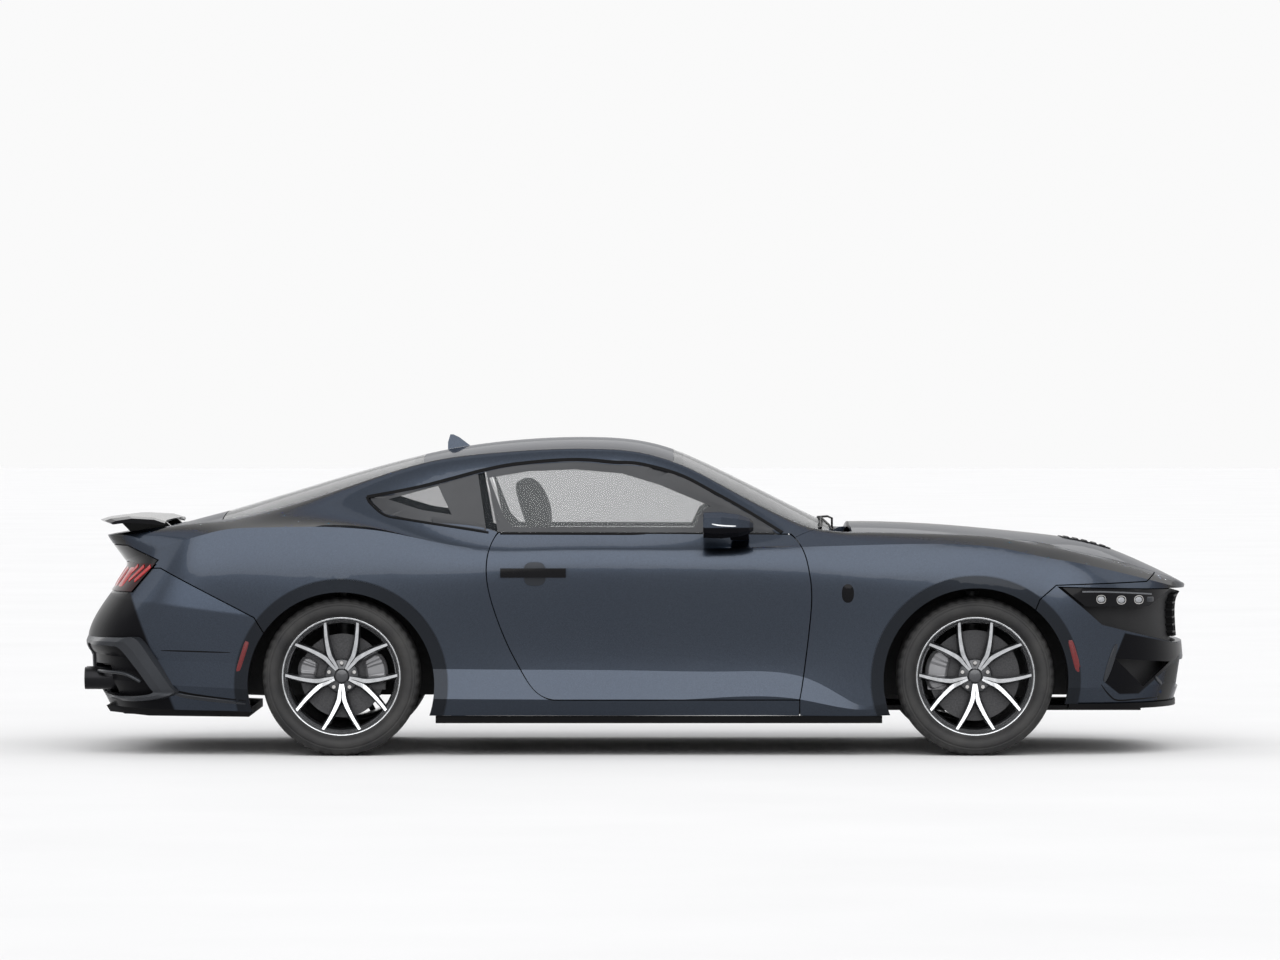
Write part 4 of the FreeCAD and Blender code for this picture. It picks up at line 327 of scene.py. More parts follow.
windowBlack = grained("windowBlack", (0.028, 0.029, 0.032), (0.040, 0.042, 0.046), 0.30, 160.0, 0.0002,
                      spec=0.25)
screenBlue = grained("screenBlue", (0.006, 0.008, 0.011), (0.010, 0.013, 0.018), 0.10, 30.0, 0.0001,
                     spec=0.3)
quarterGlass = {"aside": 0.60, "behind": -0.30, "alpha": 0.22}


def clearQuarters(finish, settings):
    # The quarter panes are as clear as the doors', while the two screens are tinted.
    tree, shader = finish.node_tree, shaderOf(finish)
    x, y, _ = placeOf(tree)
    aside = mathOf(tree, "GREATER_THAN", mathOf(tree, "ABSOLUTE", y), settings["aside"])
    behind = mathOf(tree, "LESS_THAN", x, settings["behind"])
    quarter = mathOf(tree, "MULTIPLY", aside, behind)
    alpha = rangeOf(tree, quarter, shader.inputs["Alpha"].default_value, settings["alpha"])
    tree.links.new(alpha, shader.inputs["Alpha"])


clearQuarters(screenGlass, quarterGlass)
print("finishes made")

zoneSettings = {
    "edge": 0.004, "stripeHalf": 0.205, "mirrorSplit": 0.982,
    "cornerFoot": (-2.098, 0.500), "cornerTop": (-2.176, 0.700), "cornerBlend": 0.012, "cornerEdge": 0.006,
}
noseSettings = {
    "topEdge": ((1.995, 0.546), -0.211), "ledgeEdge": ((2.217, 0.310), 0.80), "foot": 0.262,
    "upperEdge": ((0.3145, 2.004), 0.42), "lowerEdge": ((0.3145, 2.004), -1.27), "edge": 0.003,
}
creaseSettings = {"start": (-2.146, 0.665), "end": (-1.658, 0.601), "tilt": 11.0, "blur": 0.012}


def lineOf(tree, source, point, rate):
    # A straight line through point, read at source.
    step = mathOf(tree, "MULTIPLY", mathOf(tree, "SUBTRACT", source, point[0]), rate)
    return mathOf(tree, "ADD", step, point[1])


def stripeZone(tree, x, y, z):
    half, edge = zoneSettings["stripeHalf"], zoneSettings["edge"]
    return rangeOf(tree, mathOf(tree, "ABSOLUTE", y), 1.0, 0.0, half - edge, half)


def mirrorZone(tree, x, y, z):
    split, edge = zoneSettings["mirrorSplit"], zoneSettings["edge"]
    return rangeOf(tree, z, 1.0, 0.0, split - edge, split)


def cornerShadeZone(tree, x, y, z):
    # Painted shade: the rear bumper's corners are painted near-black behind a slanting line, for the shade on
    # these rearward-facing corners.
    foot, top = zoneSettings["cornerFoot"], zoneSettings["cornerTop"]
    line = lineOf(tree, z, foot[::-1], (top[0] - foot[0]) / (top[1] - foot[1]))
    black = rangeOf(tree, mathOf(tree, "SUBTRACT", line, x), 0.0, 1.0, 0.0, zoneSettings["cornerBlend"])
    below = rangeOf(tree, z, 1.0, 0.0, top[1] - zoneSettings["cornerEdge"], top[1])
    return mathOf(tree, "MULTIPLY", black, below)


def noseZone(tree, x, y, z):
    # The front bumper is black between the lamp panel, the side intake and the splitter.
    top, ledge, upper, lower = (
        lineOf(tree, source, *noseSettings[key])
        for key, source in (("topEdge", x), ("ledgeEdge", x), ("upperEdge", z), ("lowerEdge", z)))
    ledge = mathOf(tree, "MAXIMUM", ledge, noseSettings["foot"])
    side = mathOf(tree, "MAXIMUM", upper, lower)
    edge = noseSettings["edge"]
    black = 1.0
    for far, near in ((top, z), (z, ledge), (x, side)):
        inside = rangeOf(tree, mathOf(tree, "SUBTRACT", far, near), 0.0, 1.0, -edge, edge)
        black = mathOf(tree, "MULTIPLY", black, inside)
    return black


def addCrease(finish, start, end, tilt, blur):
    # Tips the surface upward above a slanting line, as the pressed crease of the real panel does.
    tree = finish.node_tree
    peel = next(n for n in tree.nodes if n.type == "BUMP")
    x, _, z = placeOf(tree)
    line = lineOf(tree, x, start, (end[1] - start[1]) / (end[0] - start[0]))
    above = mathOf(tree, "SMOOTH_MAX", mathOf(tree, "SUBTRACT", z, line), 0.0)
    above.node.inputs[2].default_value = blur
    height = mathOf(tree, "MULTIPLY", above, -math.tan(math.radians(tilt)))
    press = addNode(tree, "ShaderNodeBump", Strength=1.0, Distance=1.0)
    tree.links.new(height, press.inputs["Height"])
    tree.links.new(press.outputs["Normal"], peel.inputs["Normal"])


# Near-black: painted shade on the rear bumper's corners, and the real black of the nose panel.
cornerShadeAndNoseBlack = (0.006, 0.006, 0.007)
hoodPaint = addBlackZone(makePaint("hoodPaint", paintSettings, False), stripeZone)
mirrorPaint = addBlackZone(makePaint("mirrorPaint", paintSettings, False), mirrorZone)
# The rear bumper's corners take painted shade as near-black paint.
rearPaint = addBlackZone(makePaint("rearPaint", paintSettings, True), cornerShadeZone, cornerShadeAndNoseBlack)
addCrease(rearPaint, **creaseSettings)
nosePaint = addBlackZone(makePaint("nosePaint", paintSettings, True), noseZone, cornerShadeAndNoseBlack)

finishNodes = (
    (bodyPaint, "body_sides fenders"), (nosePaint, "front_bumper"), (rearPaint, "rear_bumper"),
    (lidPaint, "door_right door_left roof_panel deck_lid aerial_fin"), (hoodPaint, "hood"),
    (mirrorPaint, "mirror_right mirror_left"), (sideGlass, "door_glass_right door_glass_left"),
    (screenGlass, "fixed_glass"), (smokedLens, "headlamps"), (tailSmoke, "tail_lamps"),
    (glossBlack, "tail_panel rear_wing door_handle_right door_handle_left"),
    (satinBlack, "front_splitter side_skirts upper_grille wipers"),
    (roughPlastic, "cowl front_trays rear_diffuser"), (tipBlack, "tailpipes"),
    (underCoat, "body_frame wheel_houses platform"), (engineIron, "engine_block"),
    (caliperGrey, "knuckle_right knuckle_left"), (gearSteel, "suspension"), (cabinTrim, "dashboard"),
    (seatLeather, "front_seats rear_seat"), (wheelLeather, "steering_wheel"),
)
nodeFinish = {name: finish for finish, names in finishNodes for name in names.split()}
wheelFinish = {"tyre": tyreRubber, "rim": wheelDark, "brake": brakeIron}
for name, node in cadNodes.items():
    finish = nodeFinish.get(name) or wheelFinish[name.split("_")[0]]
    if not node.material_slots:
        node.data.materials.append(None)
    for slotOf in node.material_slots:
        slotOf.link = "OBJECT"
        slotOf.material = finish
print("CAD nodes finished")


# Making pieces.

def addPiece(name, mesh, finishes, body, smooth=True):
    mesh.name = name
    piece = bpy.data.objects.new(name, mesh)
    scene.collection.objects.link(piece)
    for finish in finishes if isinstance(finishes, list) else [finishes]:
        mesh.materials.append(finish)
    if smooth:
        mesh.polygons.foreach_set("use_smooth", [True] * len(mesh.polygons))
        mesh.update()
    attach(piece, body)
    return piece


def meshOf(build, mesh=None):
    # Turns a finished bmesh into a mesh.
    mesh = mesh or bpy.data.meshes.new("form")
    build.to_mesh(mesh)
    build.free()
    return mesh


def meshFrom(points, faces, outward=False):
    mesh = bpy.data.meshes.new("form")
    mesh.from_pydata([tuple(p) for p in points], [], faces)
    mesh.validate()
    mesh.update()
    if outward:
        build = bmesh.new()
        build.from_mesh(mesh)
        bmesh.ops.recalc_face_normals(build, faces=build.faces[:])
        meshOf(build, mesh)
    return mesh


def gridFaces(rows, across, joinRows=False, joinAcross=True, flip=False):
    # Four-sided faces between neighbouring rows of points.
    faces = []
    for i in range(rows if joinRows else rows - 1):
        for k in range(across if joinAcross else across - 1):
            j, m = (i + 1) % rows, (k + 1) % across
            a, b, c, d = i * across + k, i * across + m, j * across + m, j * across + k
            faces.append((a, d, c, b) if flip else (a, b, c, d))
    return faces


def endCaps(rows, across):
    return [tuple(range(across))[::-1], tuple((rows - 1) * across + k for k in range(across))]


def fanFaces(rows, across):
    # Three-sided faces from the last row to the point after it.
    last = (rows - 1) * across
    return [(last + k, last + (k + 1) % across, last + across) for k in range(across)]


def joinRings(build, rings, bright=None):
    # Skins a run of rings and closes its ends; the bright strip takes the second finish.
    for near, far in zip(rings, rings[1:]):
        for k in range(len(near)):
            m = (k + 1) % len(near)
            face = build.faces.new((near[k], near[m], far[m], far[k]))
            face.material_index = 1 if k == bright else 0
    build.faces.new(rings[0][::-1])
    build.faces.new(rings[-1])


def applyModifiers(piece):
    bpy.context.view_layer.update()
    depsgraph = bpy.context.evaluated_depsgraph_get()
    fresh = bpy.data.meshes.new_from_object(piece.evaluated_get(depsgraph))
    piece.modifiers.clear()
    piece.data = fresh


def lathe(profile, centre, segments, closed=False):
    # Turns a (radius, along Y) profile about the wheel's axis.
    points = []
    for i in range(segments):
        turn = 2 * math.pi * i / segments
        points += [(centre[0] + radius * math.cos(turn), centre[1] + along,
                    centre[2] + radius * math.sin(turn)) for radius, along in profile]
    return meshFrom(points, gridFaces(segments, len(profile), True, closed, flip=True))


def sweptTube(places, radius, around=10, flat=1.0):
    # A round or flattened tube along a line of places.
    places = [Vector(p) for p in places]
    last = len(places) - 1
    side = (places[1] - places[0]).cross(Vector((0, 0, 1)))
    points = []
    for i, place in enumerate(places):
        run = (places[min(i + 1, last)] - places[max(i - 1, 0)]).normalized()
        side = (side - run * side.dot(run)).normalized()
        lift = run.cross(side) * flat
        for k in range(around):
            turn = 2 * math.pi * k / around
            points.append(place + (side * math.cos(turn) + lift * math.sin(turn)) * radius)
    return meshFrom(points, gridFaces(last + 1, around) + endCaps(last + 1, around))


def roundedBlock(low, high, bevel):
    build = bmesh.new()
    bmesh.ops.create_cube(build, size=1.0)
    for vertex in build.verts:
        for k in range(3):
            vertex.co[k] = (low[k] + high[k]) / 2 + vertex.co[k] * (high[k] - low[k])
    bmesh.ops.bevel(build, geom=build.edges[:], offset=bevel, segments=3, affect="EDGES", profile=0.5)
    return meshOf(build)


def treeOf(*names):
    # A search tree over some CAD nodes, to lay pieces on their surface.
    points, faces = [], []
    for name in names:
        data = cadNodes[name].data
        base = len(points)
        points += [v.co.copy() for v in data.vertices]
        faces += [tuple(base + i for i in poly.vertices) for poly in data.polygons]
    return BVHTree.FromPolygons(points, faces)


def splinePlace(corners, u):
    # A point on the smooth line between the middle two of four places.
    return tuple(0.5 * (2 * p1 + (p2 - p0) * u + (2 * p0 - 5 * p1 + 4 * p2 - p3) * u * u
                        + (3 * p1 - p0 - 3 * p2 + p3) * u ** 3) for p0, p1, p2, p3 in zip(*corners))


def smoothShares(places, count):
    # Evenly shared points on a smooth line through places.
    spans = len(places) - 1
    curve = []
    for n in range(count):
        t = n / (count - 1) * spans
        i = min(int(t), spans - 1)
        curve.append(splinePlace([places[min(max(i + k, 0), spans)] for k in (-1, 0, 1, 2)], t - i))
    return curve


def closedCurve(places, count):
    # Evenly shared points on a smooth closed line.
    total = len(places)
    curve = []
    for n in range(count):
        t = n / count * total
        curve.append(Vector(splinePlace([places[(int(t) + k) % total] for k in (-1, 0, 1, 2)], t - int(t))))
    return curve


# Wheels.

wheelSettings = {
    "tyreRadius": 0.340, "seatRadius": 0.241, "flangeRadius": 0.256, "segments": 144, "beadShare": 0.345,
    "grooveShares": [0.30, 0.105], "shoulderShare": 0.955, "shoulderOut": 0.33, "sipeDepth": 0.006,
    "sipeSlant": 60, "sipeStep": 2.5, "nuts": 5, "lugCircle": 0.05715, "nutOut": 0.046,
    "nutRadii": (0.0105, 0.0085), "nutDepth": 0.016, "discFront": 0.195, "discRear": 0.180,
    "seatClear": 0.0003, "barrelSegments": 120, "faceSegments": 96,
}
corners = {
    # Where the wheel's middle stands in x and y, and how wide its tyre is.
    "front_right": (1.45, -0.790, 0.255), "front_left": (1.45, 0.790, 0.255),
    "rear_right": (-1.27, -0.795, 0.275), "rear_left": (-1.27, 0.795, 0.275),
}


def tyreProfile(width, settings):
    # Half section from bead to crown and its mirror image, with the tread's grooves.
    seat, crown = settings["seatRadius"], settings["tyreRadius"]
    wall = crown - seat
    half = [(0.345, 0.02), (0.352, 0.13), (0.385, 0.185), (0.43, 0.24), (0.474, 0.33), (0.493, 0.42),
            (0.4985, 0.50), (0.498, 0.58), (0.492, 0.66), (0.486, 0.665), (0.486, 0.685), (0.487, 0.69),
            (0.476, 0.78), (0.470, 0.785), (0.470, 0.80), (0.470, 0.805), (0.452, 0.87), (0.430, 0.925),
            (0.405, 0.955)]
    tread = []
    for groove in settings["grooveShares"]:
        tread += [(groove + 0.022, 0.985 if groove > 0.2 else 0.996), (groove + 0.016, 0.915),
                  (groove - 0.016, 0.915), (groove - 0.022, 0.988 if groove > 0.2 else 0.997)]
    tread.append((0.0, 0.9985))
    side = half + tread
    full = [(seat + up * wall, -out * width) for out, up in side]
    full += [(seat + up * wall, out * width) for out, up in reversed(side[:-1])]
    return full


def cutTread(mesh, centre, width, settings):
    # Presses slanting shoulder grooves into the tread, segment by segment.
    for vertex in mesh.vertices:
        dx, dz = vertex.co.x - centre[0], vertex.co.z - centre[2]
        radius = math.hypot(dx, dz)
        along = vertex.co.y - centre[1]
        onTread = radius > settings["tyreRadius"] * settings["shoulderShare"]
        if onTread and abs(along) / width > settings["shoulderOut"]:
            turn = math.degrees(math.atan2(dz, dx)) + along * settings["sipeSlant"]
            if int(turn / settings["sipeStep"] + 720) % 3 == 0:
                scale = (radius - settings["sipeDepth"]) / radius
                vertex.co.x = centre[0] + dx * scale
                vertex.co.z = centre[2] + dz * scale


spokeSettings = {
    "line": [(0.034, 0.0045), (0.070, 0.0085), (0.108, 0.0135), (0.170, 0.0430), (0.2295, 0.0805)],
    "section": [(-2.1, 0.032), (-1.35, 0.004), (-0.95, 0.0), (0.95, 0.0), (1.35, 0.004), (2.1, 0.032)],
    "steps": 15, "forks": 5, "hubFace": 0.046, "rimDrop": 0.006,
    "half": 0.0046, "swell": 0.0042, "swellRate": 2.2, "taper": 0.0034, "taperFrom": 0.55, "riseCurve": 1.3,
}


def spokeMesh(centre, outward, settings, bead):
    # Five forked spokes: each pair leaves the hub side by side, then parts towards the rim.
    build = bmesh.new()
    line = smoothShares(settings["line"], settings["steps"])
    hubFace, last = settings["hubFace"], len(line) - 1
    for fork in range(settings["forks"]):
        middle = math.radians(-90 + 360 / settings["forks"] * fork)
        ahead = Vector((math.cos(middle), 0, math.sin(middle)))
        aside = Vector((-math.sin(middle), 0, math.cos(middle)))
        for turn in (-1, 1):
            rings = []
            for n, (along, drift) in enumerate(line):
                t = n / last
                before, after = line[max(0, n - 1)], line[min(last, n + 1)]
                slope = Vector((after[0] - before[0], after[1] - before[1])).normalized()
                narrowing = max(0.0, t - settings["taperFrom"]) / (1 - settings["taperFrom"])
                half = settings["half"] + settings["swell"] * min(1.0, t * settings["swellRate"])
                half -= settings["taper"] * narrowing
                rise = hubFace + (bead - settings["rimDrop"] - hubFace) * t ** settings["riseCurve"]
                ring = []
                for across, back in settings["section"]:
                    place = ahead * (along - slope.y * half * across)
                    place += aside * ((drift + slope.x * half * across) * turn)
                    place.y = outward * (rise - back)
                    ring.append(build.verts.new(Vector(centre) + place))
                rings.append(ring)
            joinRings(build, rings, bright=2)
    bmesh.ops.recalc_face_normals(build, faces=build.faces[:])
    return meshOf(build)


caliperSettings = {
    "steps": 14, "endLow": 0.012, "endHigh": 0.020, "endCurve": 0.35, "ribs": (3, 4, 10, 11), "rib": 0.004,
    "shoulders": (0.008, 0.010, 0.014), "sharp": 0.6, "bevel": 0.0025,
    # Middle angle, spread, radii against the disc's edge, and depths from the wheel's middle.
    "front": (172, 52, (-0.078, 0.018), (-0.055, -0.002)),
    "rear": (10, 44, (-0.078, 0.018), (-0.055, -0.002)),
    "park": (168, 30, (-0.070, 0.014), (-0.050, -0.008)),
}


def caliperMesh(centre, outward, discRadius, form):
    # A rounded bridge over the disc's edge, with two raised ribs.
    middleAngle, spread, radii, depth = form
    inner, outer = discRadius + radii[0], discRadius + radii[1]
    settings = caliperSettings
    innerDrop, innerEdge, outerEdge = settings["shoulders"]
    build = bmesh.new()
    rings = []
    for n in range(settings["steps"] + 1):
        t = n / settings["steps"]
        angle = math.radians(middleAngle + spread * (t - 0.5))
        fullness = math.sin(math.pi * t) ** settings["endCurve"] if 0 < t < 1 else 0.0
        top = depth[1] + (settings["rib"] if n in settings["ribs"] else 0.0)
        low = inner + settings["endLow"] * (1 - fullness)
        high = outer - settings["endHigh"] * (1 - fullness)
        section = [(low, depth[0]), (low, depth[1] - innerDrop), (low + innerEdge, top),
                   (high - outerEdge, top), (high, depth[1] - outerEdge), (high, depth[0])]
        rings.append([build.verts.new((centre[0] + r * math.cos(angle), centre[1] + outward * a,
                                       centre[2] + r * math.sin(angle))) for r, a in section])
    joinRings(build, rings)
    bmesh.ops.recalc_face_normals(build, faces=build.faces[:])
    sharp = [e for e in build.edges if e.calc_face_angle(0) > settings["sharp"]]
    bmesh.ops.bevel(build, geom=sharp, offset=settings["bevel"], segments=2, affect="EDGES", profile=0.5)
    return meshOf(build)


def nutMesh(centre, outward, settings):
    build = bmesh.new()
    lug, out = settings["lugCircle"], outward * settings["nutOut"]
    foot, top = settings["nutRadii"]
    for k in range(settings["nuts"]):
        angle = math.radians(90 + 360 / settings["nuts"] * k)
        place = Vector(centre) + Vector((lug * math.cos(angle), out, lug * math.sin(angle)))
        made = bmesh.ops.create_cone(build, cap_ends=True, segments=6, radius1=foot, radius2=top,
                                     depth=settings["nutDepth"])
        for vertex in made["verts"]:
            x, y, z = vertex.co
            vertex.co = place + Vector((x, outward * z, y))
    bmesh.ops.recalc_face_normals(build, faces=build.faces[:])
    return meshOf(build)


def wheelProfiles(seat, flange, bead):
    # (radius, outboard) pairs of the pieces that are turned about the axle.
    barrel = [(flange, bead + 0.0030), (flange, bead + 0.0004), (seat, bead + 0.0002), (seat, -bead),
              (flange, -bead - 0.0004), (flange, -bead - 0.004), (flange - 0.012, -bead - 0.004),
              (seat - 0.012, -bead + 0.03), (seat - 0.016, 0.0), (seat - 0.0075, bead - 0.030),
              (seat - 0.0055, bead - 0.022), (seat - 0.001, bead - 0.012), (flange - 0.004, bead + 0.0030)]
    lip = [(seat - 0.0100, bead - 0.0290), (seat - 0.0080, bead - 0.0215), (seat - 0.0035, bead - 0.0120),
           (flange - 0.0062, bead + 0.0036), (flange - 0.0040, bead + 0.0054),
           (flange - 0.0015, bead + 0.0048), (flange + 0.0002, bead + 0.0030)]
    hub = [(0.0, 0.0500), (0.020, 0.0495), (0.0270, 0.0480), (0.0290, 0.0455), (0.0295, 0.0420),
           (0.0345, 0.0400), (0.0680, 0.0370), (0.0740, 0.0310), (0.0760, 0.0100), (0.0310, 0.0080)]
    return barrel, lip, hub


for corner, (axleX, axleY, width) in corners.items():
    body = "wheel_" + corner
    outward = -1 if axleY < 0 else 1
    centre = (axleX, axleY, wheelSettings["tyreRadius"])
    tyre = lathe(tyreProfile(width, wheelSettings), centre, wheelSettings["segments"])
    cutTread(tyre, centre, width, wheelSettings)
    piece = addPiece("tyreDressed_" + corner, tyre, tyreRubber, body)
    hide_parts("tyre_" + corner)
    seat = wheelSettings["seatRadius"] - wheelSettings["seatClear"]
    bead = wheelSettings["beadShare"] * width
    barrel, lip, hub = ([(r, outward * a) for r, a in profile]
                        for profile in wheelProfiles(seat, wheelSettings["flangeRadius"], bead))
    barrelSegments, faceSegments = wheelSettings["barrelSegments"], wheelSettings["faceSegments"]
    alloy = (("rimBarrel_", lathe(barrel, centre, barrelSegments, closed=True), wheelDark, True),
             ("rimLip_", lathe(lip, centre, faceSegments), wheelFace, True),
             ("spokes_", spokeMesh(centre, outward, spokeSettings, bead), [wheelDark, wheelFace], False),
             ("hubFace_", lathe(hub, centre, faceSegments), wheelDark, True),
             ("wheelNuts_", nutMesh(centre, outward, wheelSettings), pipeSteel, False))
    for name, mesh, finish, smooth in alloy:
        piece = addPiece(name + corner, mesh, finish, body, smooth)
        if name == "rimBarrel_":
            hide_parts("rim_" + corner)
    if corner.startswith("front"):
        carrier, disc = "knuckle_right" if outward < 0 else "knuckle_left", wheelSettings["discFront"]
        grips = (("caliper_", caliperSettings["front"]),)
    else:
        carrier, disc = "root", wheelSettings["discRear"]
        grips = (("caliper_", caliperSettings["rear"]), ("parkCaliper_", caliperSettings["park"]))
    for name, form in grips:
        addPiece(name + corner, caliperMesh(centre, outward, disc, form), caliperGrey, carrier,
                 smooth=False)
print("wheels dressed")


# Trim laid on the skin.

skinTree = treeOf("body_sides", "fenders", "door_right", "door_left", "door_glass_right", "door_glass_left",
                  "fixed_glass", "roof_panel", "hood", "deck_lid", "front_bumper", "rear_bumper", "headlamps",
                  "tail_lamps", "tail_panel")

rayStart = {"side": 1.4, "end": 3.0, "top": 2.0}       # outside the car


def spotOn(tree, start, ray):
    # Where a ray meets the skin, as (place, outward normal), or None over a gap.
    place, normal, _, _ = tree.ray_cast(Vector(start), Vector(ray))
    if place is None:
        return None
    return place, -normal if normal.dot(Vector(ray)) > 0 else normal


def sideFinder(sign, tree=skinTree):
    return lambda x, z: spotOn(tree, (x, sign * rayStart["side"], z), (0, -sign, 0))


def rearFinder(y, z):
    return spotOn(skinTree, (-rayStart["end"], y, z), (1, 0, 0))


def topFinder(x, y):
    return spotOn(skinTree, (x, y, rayStart["top"]), (0, 0, -1))


def sideSpots(path, sign, count):
    spots = [sideFinder(sign)(x, z) for x, z in smoothShares(path, count)]
    return [spot for spot in spots if spot]


def ribbonOn(name, spots, width, height, finish, body, closed=False, taper=0.0):
    # A low bar with chamfered edges along spots of (place, normal).
    count = len(spots)
    section = ((-1, -0.4), (-1, 0.45), (-0.78, 1), (0.78, 1), (1, 0.45), (1, -0.4))
    points = []
    for i, (place, normal) in enumerate(spots):
        before = spots[(i - 1) % count if closed else max(0, i - 1)][0]
        after = spots[(i + 1) % count if closed else min(count - 1, i + 1)][0]
        side = (after - before).normalized().cross(normal).normalized()
        half = width / 2 * (1.0 - taper * abs(2 * i / max(1, count - 1) - 1) ** 3)
        points += [place + side * (half * across) + normal * (height * up) for across, up in section]
    faces = gridFaces(count, len(section), closed)
    if not closed:
        faces += endCaps(count, len(section))
    return addPiece(name, meshFrom(points, faces, outward=True), finish, body, smooth=False)


def patchOn(name, outline, finder, height, finish, body, rings=3, lift=0.0006):
    # A domed patch on the skin: the outline shrinks towards its middle as it rises.
    count = len(outline)
    middle = tuple(sum(p[k] for p in outline) / count for k in range(2))
    points = []
    for ring in range(rings + 2):
        share = 1 - ring / (rings + 1)
        rise = height * (1 - share ** 3) + lift
        for p in outline if ring <= rings else [middle]:
            place, normal = finder(*(middle[k] + (p[k] - middle[k]) * share for k in range(2)))
            points.append(place + normal * rise)
    faces = gridFaces(rings + 1, count) + fanFaces(rings + 1, count)
    return addPiece(name, meshFrom(points, faces, outward=True), finish, body)


def roundedOutline(centre, halfA, halfB, power, count, lean=0.0):
    # A superellipse outline; lean slides its top sideways. Settings hold both halves, power and count.
    outline = []
    for k in range(count):
        turn = 2 * math.pi * k / count
        a, b = (math.copysign(abs(part) ** (2 / power), part) * half
                for part, half in ((math.cos(turn), halfA), (math.sin(turn), halfB)))
        outline.append((centre[0] + a + lean * b, centre[1] + b))
    return outline


windowSettings = {
    # Points along the strip, width, body and line.
    "windowTrimTop_": (90, 0.018, "root", [
        (-1.167, 1.108), (-0.958, 1.147), (-0.794, 1.189), (-0.669, 1.222), (-0.545, 1.247), (-0.375, 1.264),
        (-0.238, 1.268), (-0.102, 1.257), (0.011, 1.250), (0.182, 1.203), (0.336, 1.124), (0.469, 1.050),
        (0.622, 0.956)]),
    "windowTrimQuarter_": (40, 0.011, "root", [
        (-1.167, 1.108), (-1.150, 1.080), (-1.086, 1.030), (-0.985, 1.010), (-0.780, 0.978),
        (-0.640, 0.956)]),
    "windowTrimDoor_": (50, 0.011, "door_", [
        (-0.590, 0.952), (-0.300, 0.951), (0.100, 0.950), (0.590, 0.949)]),
}
windowProud = 0.0022
for sign, side in sides:
    for name, (count, width, body, path) in windowSettings.items():
        ribbonOn(name + side, sideSpots(path, sign, count), width, windowProud, satinBlack,
                 body + side if body == "door_" else body)

borderSettings = {
    "door": {"outer": [(-0.655, 1.221), (-0.545, 1.243), (-0.375, 1.259), (-0.238, 1.263), (-0.102, 1.252),
                       (0.011, 1.245), (0.182, 1.198), (0.336, 1.119), (0.469, 1.045), (0.598, 0.966),
                       (0.590, 0.956), (-0.600, 0.958)],
             "inner": [(-0.640, 1.190), (-0.575, 1.022), (-0.535, 0.978), (0.245, 0.976), (0.280, 1.050),
                       (0.316, 1.068), (0.095, 1.160), (-0.069, 1.209), (-0.270, 1.226), (-0.472, 1.218)]},
    "quarter": {"outer": [(-1.155, 1.106), (-0.958, 1.143), (-0.794, 1.185), (-0.690, 1.213), (-0.650, 0.964),
                          (-0.780, 0.983), (-0.985, 1.015), (-1.086, 1.035), (-1.138, 1.080)],
                "inner": [(-1.074, 1.097), (-0.860, 1.155), (-0.800, 1.032), (-0.930, 1.052)]},
    "proud": 0.0008, "steps": 3, "turns": 220,
}


def edgeReach(outline, middle, turn):
    # How far an outline lies from its middle in one direction.
    dx, dz = math.cos(turn), math.sin(turn)
    best = None
    for i, (x1, z1) in enumerate(outline):
        x0, z0 = outline[i - 1]
        ex, ez = x1 - x0, z1 - z0
        cross = dx * ez - dz * ex
        if abs(cross) < 1e-9:
            continue
        reach = ((x0 - middle[0]) * ez - (z0 - middle[1]) * ex) / cross
        along = ((x0 - middle[0]) * dz - (z0 - middle[1]) * dx) / cross
        if reach > 0 and -1e-6 <= along <= 1 + 1e-6:
            best = reach if best is None else max(best, reach)
    return best


def windowBorder(name, outlines, sign, body):
    # The dark printed edge of a pane: a ring between its outline and the clear part.
    inner, outer = outlines["inner"], outlines["outer"]
    steps, count, proud = borderSettings["steps"], borderSettings["turns"], borderSettings["proud"]
    middle = tuple(sum(p[k] for p in inner) / len(inner) for k in range(2))
    turns = sorted({math.atan2(z - middle[1], x - middle[0]) for x, z in inner + outer}
                   | {2 * math.pi * k / count - math.pi for k in range(count)})
    find = sideFinder(sign)
    spot = find(*inner[0])
    points = []
    for turn in turns:
        near, far = edgeReach(inner, middle, turn), edgeReach(outer, middle, turn)
        for n in range(steps + 1):
            reach = near + (far - near) * n / steps
            x, z = middle[0] + reach * math.cos(turn), middle[1] + reach * math.sin(turn)
            spot = find(x, z) or (Vector((x, spot[0].y, z)), spot[1])      # the last spot's depth over a gap
            points.append(spot[0] + spot[1] * proud)
    faces = gridFaces(len(turns), steps + 1, joinRows=True, joinAcross=False, flip=True)
    return addPiece(name, meshFrom(points, faces), windowBlack, body)


for sign, side in sides:
    windowBorder("doorPaneBorder_" + side, borderSettings["door"], sign, "door_" + side)
    windowBorder("quarterPaneBorder_" + side, borderSettings["quarter"], sign, "root")

mirrorSettings = {
    "centre": (0.943, 0.985), "glass": (0.078, 0.043, 3.6, 40), "glassProud": 0.0012, "rayStart": -1.0,
    "lampWidth": 0.006, "lampProud": 0.0015, "lampSteps": 14, "lampTaper": 0.5,
    "lamp": [(0.318, 0.996), (0.352, 0.990), (0.392, 0.9875), (0.420, 0.987)],
}
for sign, side in sides:
    mirrorTree = treeOf("mirror_" + side)
    mirrorY, mirrorZ = mirrorSettings["centre"]
    glass = roundedOutline((sign * mirrorY, mirrorZ), *mirrorSettings["glass"])
    patchOn("mirrorGlass_" + side, glass,
            lambda y, z: spotOn(mirrorTree, (mirrorSettings["rayStart"], y, z), (1, 0, 0)),
            mirrorSettings["glassProud"], mirrorSilver, "door_" + side)
    lampPath = smoothShares(mirrorSettings["lamp"], mirrorSettings["lampSteps"])
    lampSpots = [sideFinder(sign, mirrorTree)(x, z) for x, z in lampPath]
    ribbonOn("turnLamp_" + side, lampSpots, mirrorSettings["lampWidth"], mirrorSettings["lampProud"],
             whiteLens, "door_" + side, taper=mirrorSettings["lampTaper"])

